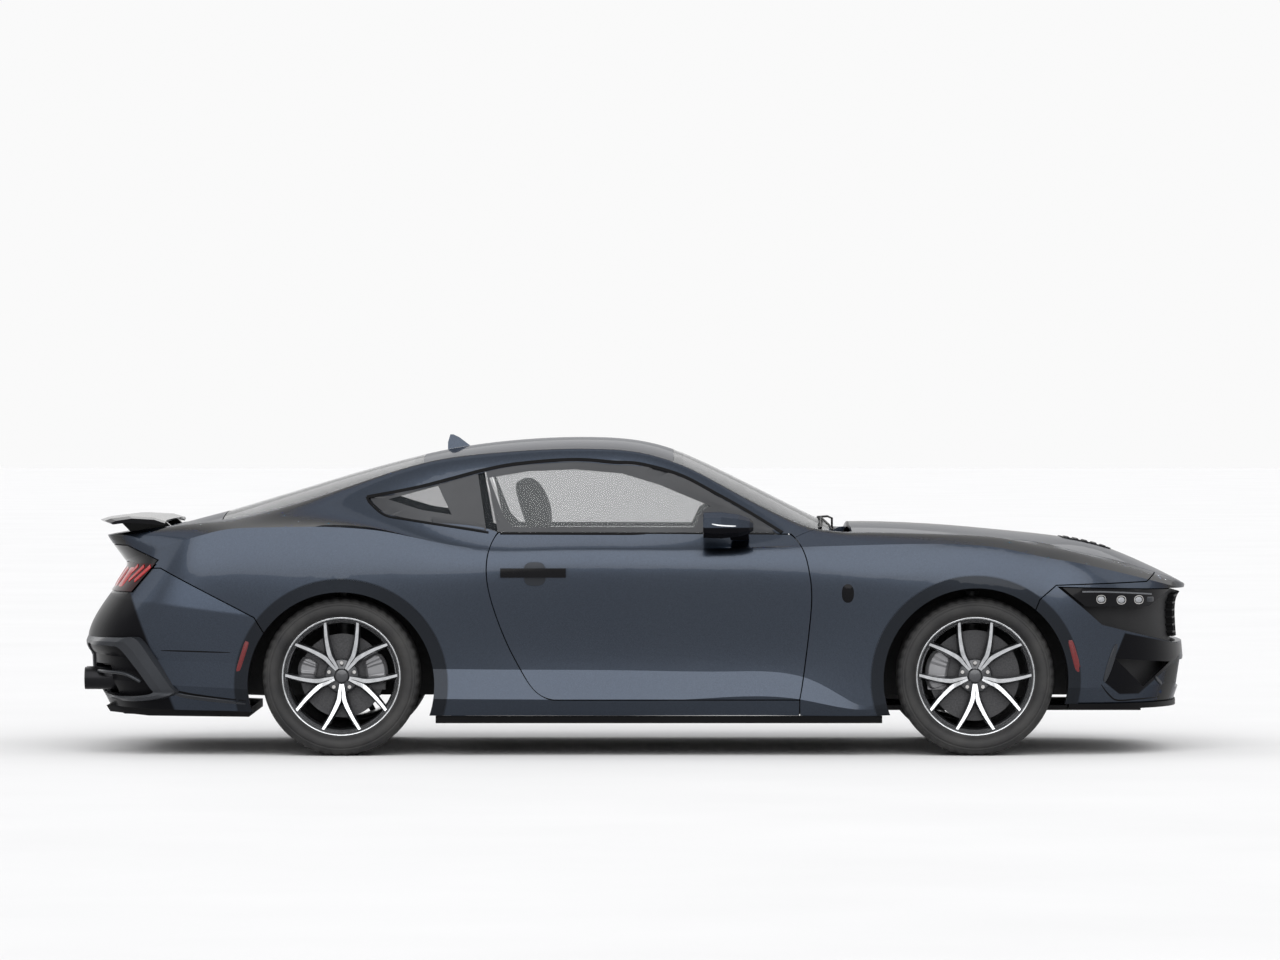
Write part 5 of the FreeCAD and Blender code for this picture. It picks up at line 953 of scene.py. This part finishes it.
markerSettings = {
    "front": [(1.842, 0.4955), (1.864, 0.4985), (1.8995, 0.3825), (1.890, 0.359), (1.875, 0.3695)],
    "rear": [(-1.680, 0.4964), (-1.661, 0.4874), (-1.7015, 0.3654), (-1.721, 0.3629)],
    "proud": 0.004,
}


def rounded(outline, share=0.25, count=4):
    # Corners of a polygon cut to short arcs.
    smooth = []
    total = len(outline)
    for i, corner in enumerate(outline):
        before, after = outline[i - 1], outline[(i + 1) % total]
        start = [corner[k] + (before[k] - corner[k]) * share for k in range(2)]
        end = [corner[k] + (after[k] - corner[k]) * share for k in range(2)]
        for n in range(count + 1):
            t = n / count
            smooth.append(tuple((1 - t) ** 2 * start[k] + 2 * t * (1 - t) * corner[k] + t * t * end[k]
                                for k in range(2)))
    return smooth


fenderPatch = {"centre": (0.901, 0.697), "oval": (0.026, 0.040, 2.3, 28), "proud": 0.004}
for sign, side in sides:
    for end in ("front", "rear"):
        patchOn("marker_%s_%s" % (end, side), rounded(markerSettings[end]), sideFinder(sign),
                markerSettings["proud"], markerLens, "root")
    oval = roundedOutline(fenderPatch["centre"], *fenderPatch["oval"])
    patchOn("fenderBadge_" + side, oval, sideFinder(sign), fenderPatch["proud"], glossBlack, "root")

handleSettings = {"centre": (-0.4400, 0.7800), "cup": (0.04836, 0.052, 3.2, 40), "proud": 0.0004,
                  "rimWidth": 0.004, "rimProud": 0.0012}
for sign, side in sides:
    find = sideFinder(sign)
    cup = roundedOutline(handleSettings["centre"], *handleSettings["cup"])
    # The cup is a dark patch of painted shade on the door.
    patchOn("handleCup_" + side, cup, find, handleSettings["proud"], cupShade, "door_" + side)
    ribbonOn("handleCupRim_" + side, [find(x, z) for x, z in cup], handleSettings["rimWidth"],
             handleSettings["rimProud"], lidPaint, "door_" + side, closed=True)
print("side trim laid")


rearCornerSettings = {
    "outer": [(-2.335, 0.450, 0.500), (-2.338, 0.620, 0.503), (-2.300, 0.800, 0.505), (-2.215, 0.885, 0.506),
              (-2.150, 0.905, 0.500), (-2.075, 0.915, 0.400), (-2.005, 0.915, 0.300), (-1.985, 0.912, 0.272),
              (-2.050, 0.900, 0.248), (-2.160, 0.840, 0.232), (-2.240, 0.700, 0.235), (-2.262, 0.520, 0.245),
              (-2.285, 0.450, 0.300), (-2.325, 0.440, 0.420)],
    "inner": [(-2.362, 0.485, 0.470), (-2.366, 0.620, 0.472), (-2.334, 0.780, 0.472), (-2.268, 0.852, 0.470),
              (-2.222, 0.878, 0.458), (-2.152, 0.892, 0.375), (-2.092, 0.892, 0.292), (-2.078, 0.888, 0.272),
              (-2.110, 0.876, 0.260), (-2.185, 0.815, 0.252), (-2.264, 0.700, 0.253), (-2.282, 0.540, 0.262),
              (-2.306, 0.485, 0.310), (-2.350, 0.475, 0.420)],
    "recess": 0.085, "shrink": 0.94, "clear": 0.004, "count": 84,
    "shelf": [(-2.318, 0.470, 0.352), (-2.330, 0.620, 0.356), (-2.290, 0.790, 0.358), (-2.200, 0.872, 0.352),
              (-2.130, 0.885, 0.318)],
    "shelfRadius": 0.013, "shelfFlat": 0.6, "shelfSteps": 26, "sideFrom": 0.84, "rearFrom": -2.18,
    "greyRings": 3,
    "crest": (-0.006, 0.005, 0), "lip": (0.012, -0.006, 0), "lipShrink": 0.02, "skirt": (0.030, -0.030, 0),
    "deepIn": -0.04,
}


def proudOfSkin(place, settings, clear):
    # Moves a point of the right corner out to lie just clear of the bumper.
    x, y, z = place
    beside = sideFinder(-1)(x, z)
    if beside and y > settings["sideFrom"]:
        y = max(y, -beside[0].y + clear)
    behind = rearFinder(-y, z)
    if behind and x < settings["rearFrom"]:
        x = min(x, behind[0].x - clear)
    return Vector((x, y, z))


def rearCorner(side, sign, settings):
    # The bezel round the tailpipes: a grey band that wraps the corner, and a black recess inside it.
    count, clear = settings["count"], settings["clear"]
    outer = [proudOfSkin(p, settings, clear) for p in closedCurve(settings["outer"], count)]
    inner = [proudOfSkin(p, settings, clear * 2) for p in closedCurve(settings["inner"], count)]
    middle = sum(inner, Vector()) / count
    back = Vector((settings["recess"], settings["deepIn"], 0))
    crest = [a.lerp(b, 0.5) + Vector(settings["crest"]) for a, b in zip(outer, inner)]
    lip = [p + Vector(settings["lip"]) + (middle - p) * settings["lipShrink"] for p in inner]
    deep = [middle + (p - middle) * settings["shrink"] + back for p in inner]
    skirt = [p + Vector(settings["skirt"]) for p in outer]
    loops = [skirt, outer, crest, inner, lip, deep]
    places = [p for loop in loops for p in loop] + [sum(deep, Vector()) / count]
    points = [Vector((p.x, sign * p.y, p.z)) for p in places]
    mesh = meshFrom(points, gridFaces(len(loops), count) + fanFaces(len(loops), count))
    for polygon in mesh.polygons:
        polygon.material_index = 0 if polygon.index < settings["greyRings"] * count else 1
    addPiece("exhaustBezel_" + side, mesh, [bezelGrey, tipBlack], "root", smooth=False)
    shelf = [(x, sign * y, z) for x, y, z in smoothShares(settings["shelf"], settings["shelfSteps"])]
    addPiece("exhaustShelf_" + side, sweptTube(shelf, settings["shelfRadius"], flat=settings["shelfFlat"]),
             bezelGrey, "root")


for sign, side in sides:
    rearCorner(side, sign, rearCornerSettings)

lineSettings = {
    # Line, width, height and finish.
    "bumperSeam": ([(-2.120, 0.498), (-2.085, 0.420), (-1.997, 0.295), (-1.950, 0.272), (-1.820, 0.252),
                    (-1.675, 0.236)], 0.009, 0.0010, satinBlack),
    "bumperLedge": ([(-1.985, 0.268), (-1.940, 0.256), (-1.820, 0.240), (-1.680, 0.224)], 0.017, 0.0050,
                    bezelGrey),
    "bumperCrease": ([(-2.043, 0.452), (-1.950, 0.450), (-1.850, 0.447), (-1.743, 0.444)], 0.006, 0.0006,
                     satinBlack),
    "noseWinglet": ([(2.055, 0.478), (2.040, 0.430), (2.022, 0.375), (2.002, 0.318)], 0.026, 0.0050,
                    bezelGrey),
    "noseLowerLine": ([(1.988, 0.306), (2.020, 0.265), (2.061, 0.236), (2.150, 0.238), (2.260, 0.243)], 0.007,
                      0.0010, satinBlack),
    "noseBlade": ([(2.188, 0.398), (2.222, 0.345), (2.262, 0.300)], 0.016, 0.0060, bezelGrey),
}
lineSteps, lineTaper = 36, 0.7
for sign, side in sides:
    for lineName, (path, width, proud, finish) in lineSettings.items():
        ribbonOn(lineName + "_" + side, sideSpots(path, sign, lineSteps), width, proud, finish, "root",
                 taper=lineTaper)

hoodSettings = {
    "ventX": (1.890, 2.050), "ventHalf": 0.165, "bars": 5, "barSteps": 24, "barWidth": 0.017,
    "barProud": 0.006, "barTaper": 0.3, "frameX": 0.026, "frameY": 0.022, "framePower": 6.0,
    "frameCount": 64, "frameWidth": 0.010, "frameProud": 0.004,
}
ventStart, ventEnd = hoodSettings["ventX"]
ventHalf, steps = hoodSettings["ventHalf"], hoodSettings["barSteps"]
for n in range(hoodSettings["bars"]):
    x = ventStart + (ventEnd - ventStart) * n / (hoodSettings["bars"] - 1)
    bar = [topFinder(x, ventHalf * (2 * k / (steps - 1) - 1)) for k in range(steps)]
    ribbonOn("hoodLouvre_%d" % n, bar, hoodSettings["barWidth"], hoodSettings["barProud"], satinBlack, "hood",
             taper=hoodSettings["barTaper"])
frameHalf = (ventEnd - ventStart) / 2 + hoodSettings["frameX"], ventHalf + hoodSettings["frameY"]
ventFrame = roundedOutline(((ventStart + ventEnd) / 2, 0.0), *frameHalf, hoodSettings["framePower"],
                           hoodSettings["frameCount"])
ribbonOn("hoodVentFrame", [topFinder(x, y) for x, y in ventFrame], hoodSettings["frameWidth"],
         hoodSettings["frameProud"], satinBlack, "hood", closed=True)
print("bumper lines and vents laid")


# Soft seats: rounded blocks, remeshed, swollen by cloth pressure, then sewn.

seatSettings = {
    "middle": -0.390, "voxel": 0.011, "benchVoxel": 0.014, "frames": 20, "pressure": 4.0, "cap": 0.024,
    "groove": 0.007, "grooveWidth": 0.008, "cuts": 13, "power": 5.0,
}
middleY = seatSettings["middle"]


def ramp(value, start, end):
    t = min(1.0, max(0.0, (value - start) / (end - start)))
    return t * t * (3 - 2 * t)


def padBlock(low, high, shaper, pivot, lean):
    # A rounded block whose points the shaper moves before it leans back about its pivot.
    build = bmesh.new()
    bmesh.ops.create_cube(build, size=2.0)
    bmesh.ops.subdivide_edges(build, edges=build.edges[:], cuts=seatSettings["cuts"], use_grid_fill=True)
    power, tilt = seatSettings["power"], math.radians(lean)
    for vertex in build.verts:
        u, v, w = vertex.co
        size = max(abs(u), abs(v), abs(w))
        share = size / (abs(u) ** power + abs(v) ** power + abs(w) ** power) ** (1 / power)
        place = [(low[k] + high[k]) / 2 + (high[k] - low[k]) / 2 * part * share
                 for k, part in enumerate((u, v, w))]
        place = shaper(place, u, v, w)
        dx, dz = place[0] - pivot[0], place[2] - pivot[1]
        vertex.co = (pivot[0] + dx * math.cos(tilt) - dz * math.sin(tilt), place[1],
                     pivot[1] + dx * math.sin(tilt) + dz * math.cos(tilt))
    return meshOf(build)


def swollen(mesh, voxel, settings):
    # Remesh, let cloth pressure round the pad, cap how far each point moves, then subdivide once.
    holder = bpy.data.objects.new("padForm", mesh)
    scene.collection.objects.link(holder)
    remesh = holder.modifiers.new("remesh", "REMESH")
    remesh.mode = "VOXEL"
    remesh.voxel_size = voxel
    applyModifiers(holder)
    rest = [v.co.copy() for v in holder.data.vertices]
    cloth = holder.modifiers.new("cloth", "CLOTH")
    cloth.settings.quality = 4
    cloth.settings.use_pressure = True
    cloth.settings.uniform_pressure_force = settings["pressure"]
    cloth.settings.effector_weights.gravity = 0.0
    cloth.point_cache.frame_end = settings["frames"]
    for step in range(1, settings["frames"] + 1):
        scene.frame_set(step)
    applyModifiers(holder)
    for vertex, start in zip(holder.data.vertices, rest):
        move = vertex.co - start
        if move.length > settings["cap"]:
            vertex.co = start + move * (settings["cap"] / move.length)
    scene.frame_set(1)
    finer = holder.modifiers.new("finer", "SUBSURF")
    finer.levels = finer.render_levels = 1
    applyModifiers(holder)
    fresh = holder.data
    bpy.data.objects.remove(holder)
    return fresh


def sewn(mesh, channels, settings):
    # Draws each sewn channel in as a soft groove; a channel gives the distance of a point from its line.
    normals = [v.normal.copy() for v in mesh.vertices]
    for vertex, normal in zip(mesh.vertices, normals):
        near = min(channel(vertex.co, normal) for channel in channels)
        if near < settings["grooveWidth"] * 3:
            depth = settings["groove"] * math.exp(-(near / settings["grooveWidth"]) ** 2)
            vertex.co -= normal * depth
    mesh.update()
    return mesh


def mirroredMesh(mesh):
    copy = mesh.copy()
    copy.transform(Matrix.Scale(-1, 4, Vector((0, 1, 0))))
    copy.flip_normals()
    return copy


padShapes = {
    "hollow": 0.010, "bolster": (0.50, 0.86), "cushionBolster": 0.030, "kneeDrop": 0.028, "kneeFrom": 0.55,
    "cushionWaist": 0.012, "backBolster": 0.034, "backBolsterZ": (-0.75, -0.2), "lumbar": 0.016,
    "lumbarRate": 2.2, "lumbarAt": -0.35, "backNarrow": (0.20, 0.30), "headFull": 0.026, "headBehind": 0.8,
    "headLean": 0.012, "headNarrow": (0.16, 0.1), "benchHollow": 0.014, "benchDrop": 0.022,
    "benchDropFrom": 0.5, "benchBackHollow": 0.012,
}


def bolstered(place, v, height, rise):
    # Lifts the side bolsters along one axis and hollows the middle a little.
    place[height] += rise * ramp(abs(v), *padShapes["bolster"]) - padShapes["hollow"] * (1 - v * v)
    return place


def cushionShape(place, u, v, w):
    if w > 0:
        bolstered(place, v, 2, padShapes["cushionBolster"] * w)
        place[2] -= padShapes["kneeDrop"] * w * ramp(u, padShapes["kneeFrom"], 1.0)
    place[1] -= padShapes["cushionWaist"] * v * (1 - u * u)
    return place


def drawnIn(place, w, amount, start):
    # Narrows a pad towards its top.
    place[1] = middleY + (place[1] - middleY) * (1 - amount * ramp(w, start, 1.0))
    return place


def backShape(place, u, v, w):
    if u > 0:
        bolstered(place, v, 0, padShapes["backBolster"] * u * ramp(-w, *padShapes["backBolsterZ"]))
        place[0] += padShapes["lumbar"] * u * math.cos(padShapes["lumbarRate"] * (w - padShapes["lumbarAt"]))
    return drawnIn(place, w, *padShapes["backNarrow"])


def headShape(place, u, v, w):
    # Thin and hollow behind, full in front, narrowing towards its top.
    full = padShapes["headFull"] * (1 if u > 0 else padShapes["headBehind"])
    place[0] += full * (1 - w * w) - padShapes["headLean"] * w
    return drawnIn(place, w, *padShapes["headNarrow"])


def benchShape(place, u, v, w):
    # Two places side by side, each hollowed in its middle.
    if w > 0:
        place[2] -= padShapes["benchHollow"] * w * math.cos(math.pi * v) ** 2
        place[2] -= padShapes["benchDrop"] * w * ramp(u, padShapes["benchDropFrom"], 1.0)
    return place


def benchBackShape(place, u, v, w):
    if u > 0:
        place[0] -= padShapes["benchBackHollow"] * u * math.cos(math.pi * v) ** 2
    return place


def seam(face, along, at, middle=0.0, paired=False, within=None):
    # Distance of a point from a sewn line on one face of a pad. A pair lies either side of the middle.
    axis, least = face

    def reach(point, normal):
        if normal[axis] <= least or (within is not None and abs(point.y - middle) >= within):
            return 1.0
        return abs(abs(point[along] - middle) - at) if paired else abs(point[along] - at)
    return reach


# Which way a sewn face looks, as an axis and how far a normal must lean along it.
seatTop, backFront, headFront = (2, 0.4), (0, 0.3), (0, 0.5)
padForms = {
    # Low and high corner, form, pivot, lean in degrees and sewn lines.
    "seatCushion": ((-0.335, -0.622, 0.300), (0.132, -0.158, 0.418), cushionShape, (0.0, 0.0), 0.0, [
        seam(seatTop, 1, 0.142, middleY, True), seam(seatTop, 0, -0.105, middleY, within=0.142),
        seam(seatTop, 0, 0.035, middleY, within=0.142)]),
    "seatBack": ((-0.402, -0.612, 0.425), (-0.290, -0.168, 0.972), backShape, (-0.410, 0.380), 17.0, [
        seam(backFront, 1, 0.130, middleY, True), seam(backFront, 2, 0.620, middleY, within=0.130),
        seam(backFront, 2, 0.770, middleY, within=0.130)]),
    "headRest": ((-0.476, -0.512, 0.925), (-0.392, -0.268, 1.176), headShape, (-0.480, 0.910), 12.0, [
        seam(headFront, 1, 0.070, middleY, True)]),
    "benchCushion": ((-1.185, -0.408, 0.425), (-0.655, 0.408, 0.530), benchShape, (0.0, 0.0), 0.0, [
        seam(seatTop, 1, 0.0), seam(seatTop, 0, -0.780)]),
    "benchBack": ((-1.068, -0.408, 0.500), (-0.998, 0.408, 0.892), benchBackShape, (-1.0775, 0.455), 17.0, [
        seam(backFront, 1, 0.0), seam(backFront, 1, 0.215, paired=True)]),
}
padReplaces = {"seatCushion": "front_seats", "benchCushion": "rear_seat"}
for padName, (low, high, shaper, pivot, lean, channels) in padForms.items():
    onBench = padName.startswith("bench")
    voxel = seatSettings["benchVoxel" if onBench else "voxel"]
    pad = sewn(swollen(padBlock(low, high, shaper, pivot, lean), voxel, seatSettings), channels, seatSettings)
    meshes = {padName: pad} if onBench else {padName + "_right": pad, padName + "_left": mirroredMesh(pad)}
    pieces = [addPiece(name, mesh, seatLeather, "root") for name, mesh in meshes.items()]
    if padName in padReplaces:
        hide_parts(padReplaces[padName])
print("seats sewn")

frameSettings = {
    "rails": (-0.205, 0.165), "railX": (-0.330, 0.110), "railHalf": 0.018, "railZ": (0.224, 0.262),
    "railBevel": 0.005, "plinthX": (-0.310, 0.095), "plinthHalf": 0.190, "plinthZ": (0.258, 0.296),
    "plinthBevel": 0.012, "shieldX": (-0.350, 0.070), "shieldHalf": 0.010, "shieldOut": 0.236,
    "shieldZ": (0.262, 0.352), "shieldBevel": 0.008,
}


def seatBlock(name, part, y, finish):
    # A block of the seat frame about one distance from the car's middle.
    (x0, x1), (z0, z1), half, bevel = (frameSettings[part + key] for key in ("X", "Z", "Half", "Bevel"))
    addPiece(name, roundedBlock((x0, y - half, z0), (x1, y + half, z1), bevel), finish, "root")


for sign, side in sides:
    seatY = -sign * middleY
    for n, drift in enumerate(frameSettings["rails"]):
        seatBlock("seatRail_%d_%s" % (n, side), "rail", seatY + sign * drift, gearSteel)
    seatBlock("seatPlinth_" + side, "plinth", seatY, roughPlastic)
    seatBlock("seatShield_" + side, "shield", seatY + sign * frameSettings["shieldOut"], cabinTrim)
print("seat frames made")

trimSettings = {
    # Extents along each axis, then the bevel.
    "doorTrim": ((-0.490, 0.480), (0.712, 0.727), (0.420, 0.830), 0.006),
    "armRest": ((-0.330, 0.130), (0.664, 0.716), (0.640, 0.684), 0.014),
    "dashScreen": ((0.505, 0.519), (-0.100, 0.620), (0.893, 0.984), 0.005),
    "pull": [(-0.060, 0.655, 0.690), (-0.040, 0.640, 0.715), (0.060, 0.640, 0.730), (0.120, 0.660, 0.705)],
    "pullRadius": 0.010, "pullSteps": 16,
}


def trimBlock(part, side, sign, finish, body):
    (x0, x1), (y0, y1), (z0, z1), bevel = trimSettings[part]
    y0, y1 = sorted((sign * y0, sign * y1))
    addPiece(part + side, roundedBlock((x0, y0, z0), (x1, y1, z1), bevel), finish, body)


for sign, side in sides:
    trimBlock("doorTrim", "_" + side, sign, cabinTrim, "door_" + side)
    trimBlock("armRest", "_" + side, sign, seatLeather, "door_" + side)
    pull = [(x, sign * y, z) for x, y, z in smoothShares(trimSettings["pull"], trimSettings["pullSteps"])]
    addPiece("doorPull_" + side, sweptTube(pull, trimSettings["pullRadius"]), bezelGrey, "door_" + side)
trimBlock("dashScreen", "", 1, screenBlue, "root")
print("cabin trim made")


# Lamps.

lampPieces = {
    "projectors": [(1.987, 0.671), (2.076, 0.667), (2.155, 0.667)], "projector": (0.0153, 0.01275, 2.0, 20),
    "projectorProud": 0.006, "ring": (0.01955, 0.017, 2.4, 24), "ringWidth": 0.004, "ringProud": 0.002,
    "dayBar": [(1.905, 0.704), (2.000, 0.703), (2.120, 0.697), (2.215, 0.690)],
    "dayBarWidth": 0.007, "dayBarProud": 0.0015, "dayBarSteps": 30,
    "blockPlace": (2.208, 0.668), "block": (0.016, 0.011, 5.0, 24), "blockProud": 0.004,
    "sideBars": [[(-2.218, 0.748), (-2.150, 0.812)], [(-2.190, 0.748), (-2.120, 0.812)],
                 [(-2.162, 0.748), (-2.090, 0.812)]],
    "sideBarWidth": 0.019, "sideBarProud": 0.003, "sideBarSteps": 8,
    "tailBars": (0.450, 0.558, 0.666), "tailBarZ": 0.762, "tailBar": (0.042, 0.042, 5.0, 28),
    "tailBarLean": 0.35, "tailBarProud": 0.005,
}
for sign, side in sides:
    find = sideFinder(sign)
    for n, place in enumerate(lampPieces["projectors"]):
        ring = [find(x, z) for x, z in roundedOutline(place, *lampPieces["ring"])]
        ribbonOn("projectorRing_%d_%s" % (n, side), ring, lampPieces["ringWidth"], lampPieces["ringProud"],
                 pipeSteel, "root", closed=True)
        patchOn("projector_%d_%s" % (n, side), roundedOutline(place, *lampPieces["projector"]), find,
                lampPieces["projectorProud"], projectorLens, "root")
    dayBar = sideSpots(lampPieces["dayBar"], sign, lampPieces["dayBarSteps"])
    ribbonOn("dayBar_" + side, dayBar, lampPieces["dayBarWidth"], lampPieces["dayBarProud"], dimLens, "root")
    patchOn("lampBlock_" + side, roundedOutline(lampPieces["blockPlace"], *lampPieces["block"]), find,
            lampPieces["blockProud"], bezelGrey, "root")
    for n, path in enumerate(lampPieces["sideBars"]):
        bar = sideSpots(path, sign, lampPieces["sideBarSteps"])
        ribbonOn("tailSideBar_%d_%s" % (n, side), bar, lampPieces["sideBarWidth"], lampPieces["sideBarProud"],
                 redLens, "root")
    for n, y in enumerate(lampPieces["tailBars"]):
        bar = roundedOutline((sign * y, lampPieces["tailBarZ"]), *lampPieces["tailBar"],
                             lean=sign * lampPieces["tailBarLean"])
        patchOn("tailBar_%d_%s" % (n, side), bar, rearFinder, lampPieces["tailBarProud"], redLens, "root")
print("lamps made")


# Stage, light and camera.

stageSettings = {
    "cameraDistance": 30.0, "nearPlane": 0.94, "viewWidth": 5.477, "cameraHeight": 1.453, "sensor": 36.0,
    "aimX": 0.011, "aimZ": 1.183, "floorDark": (0.778, 0.778, 0.778), "floorPale": (0.806, 0.806, 0.806),
    "white": (0.955, 0.955, 0.955), "fill": (0.25, 0.25, 0.26), "floorHalf": 90, "floorBack": 400,
    "lampReach": 12, "clipEnd": 200.0,
}


def buildStage(settings):
    half, back = settings["floorHalf"], settings["floorBack"]
    floorMesh = meshFrom([(-half, -half, 0), (half, -half, 0), (half, back, 0), (-half, back, 0)],
                         [(0, 1, 2, 3)])
    floor = bpy.data.objects.new("floor", floorMesh)
    scene.collection.objects.link(floor)
    finish, tree, shader = newFinish("floorPale")
    setShader(shader, rough=0.9, spec=0.1)
    tone = rampOf(tree, noiseOf(tree, scale=0.6, detail=3.0),
                  [(0.3, settings["floorDark"]), (0.7, settings["floorPale"])])
    tree.links.new(tone, shader.inputs["Base Color"])
    floorMesh.materials.append(finish)
    world = bpy.data.worlds.new("studio")
    scene.world = world
    world.use_nodes = True
    tree = world.node_tree
    tree.nodes.clear()
    output = addNode(tree, "ShaderNodeOutputWorld")
    light = addNode(tree, "ShaderNodeBackground", Strength=1.0)
    light.inputs["Color"].default_value = (*settings["fill"], 1)
    white = addNode(tree, "ShaderNodeBackground", Strength=1.0)
    white.inputs["Color"].default_value = (*settings["white"], 1)
    path = addNode(tree, "ShaderNodeLightPath")
    seen = mathOf(tree, "MAXIMUM", path.outputs["Is Camera Ray"],
                  mathOf(tree, "MAXIMUM", path.outputs["Is Glossy Ray"], path.outputs["Is Transmission Ray"]))
    blend = addNode(tree, "ShaderNodeMixShader")
    tree.links.new(seen, blend.inputs[0])
    tree.links.new(light.outputs[0], blend.inputs[1])
    tree.links.new(white.outputs[0], blend.inputs[2])
    tree.links.new(blend.outputs[0], output.inputs["Surface"])


def addSun(name, azimuth, elevation, spread, strength):
    # A wide soft source: azimuth -90 stands behind the camera, and spread is how wide it looks.
    lamp = bpy.data.lights.new(name, "SUN")
    lamp.angle = math.radians(spread)
    lamp.energy = strength
    holder = bpy.data.objects.new(name, lamp)
    flat = math.cos(math.radians(elevation))
    place = Vector((flat * math.cos(math.radians(azimuth)), flat * math.sin(math.radians(azimuth)),
                    math.sin(math.radians(elevation))))
    holder.location = place * stageSettings["lampReach"]
    holder.rotation_euler = place.to_track_quat("Z", "Y").to_euler()
    scene.collection.objects.link(holder)


lampSettings = {
    # Azimuth, elevation, spread and strength.
    "nearBank": (-90, 40, 70, 2.6), "farBank": (90, 45, 70, 0.8),
    "frontBank": (0, 38, 50, 0.6), "rearBank": (180, 38, 50, 0.6),
}
buildStage(stageSettings)
for lampName, lampPlace in lampSettings.items():
    addSun(lampName, *lampPlace)

cameraData = bpy.data.cameras.new("sideView")
camera = bpy.data.objects.new("sideView", cameraData)
scene.collection.objects.link(camera)
scene.camera = camera
distance, near = stageSettings["cameraDistance"], stageSettings["nearPlane"]
camera.location = (stageSettings["aimX"], -(distance + near), stageSettings["cameraHeight"])
aim = Vector((stageSettings["aimX"], -near, stageSettings["aimZ"]))
camera.rotation_euler = (aim - camera.location).to_track_quat("-Z", "Y").to_euler()
cameraData.sensor_width = stageSettings["sensor"]
cameraData.lens = stageSettings["sensor"] * distance / stageSettings["viewWidth"]
cameraData.clip_end = stageSettings["clipEnd"]
scene.view_settings.view_transform = "Standard"
print("stage set")
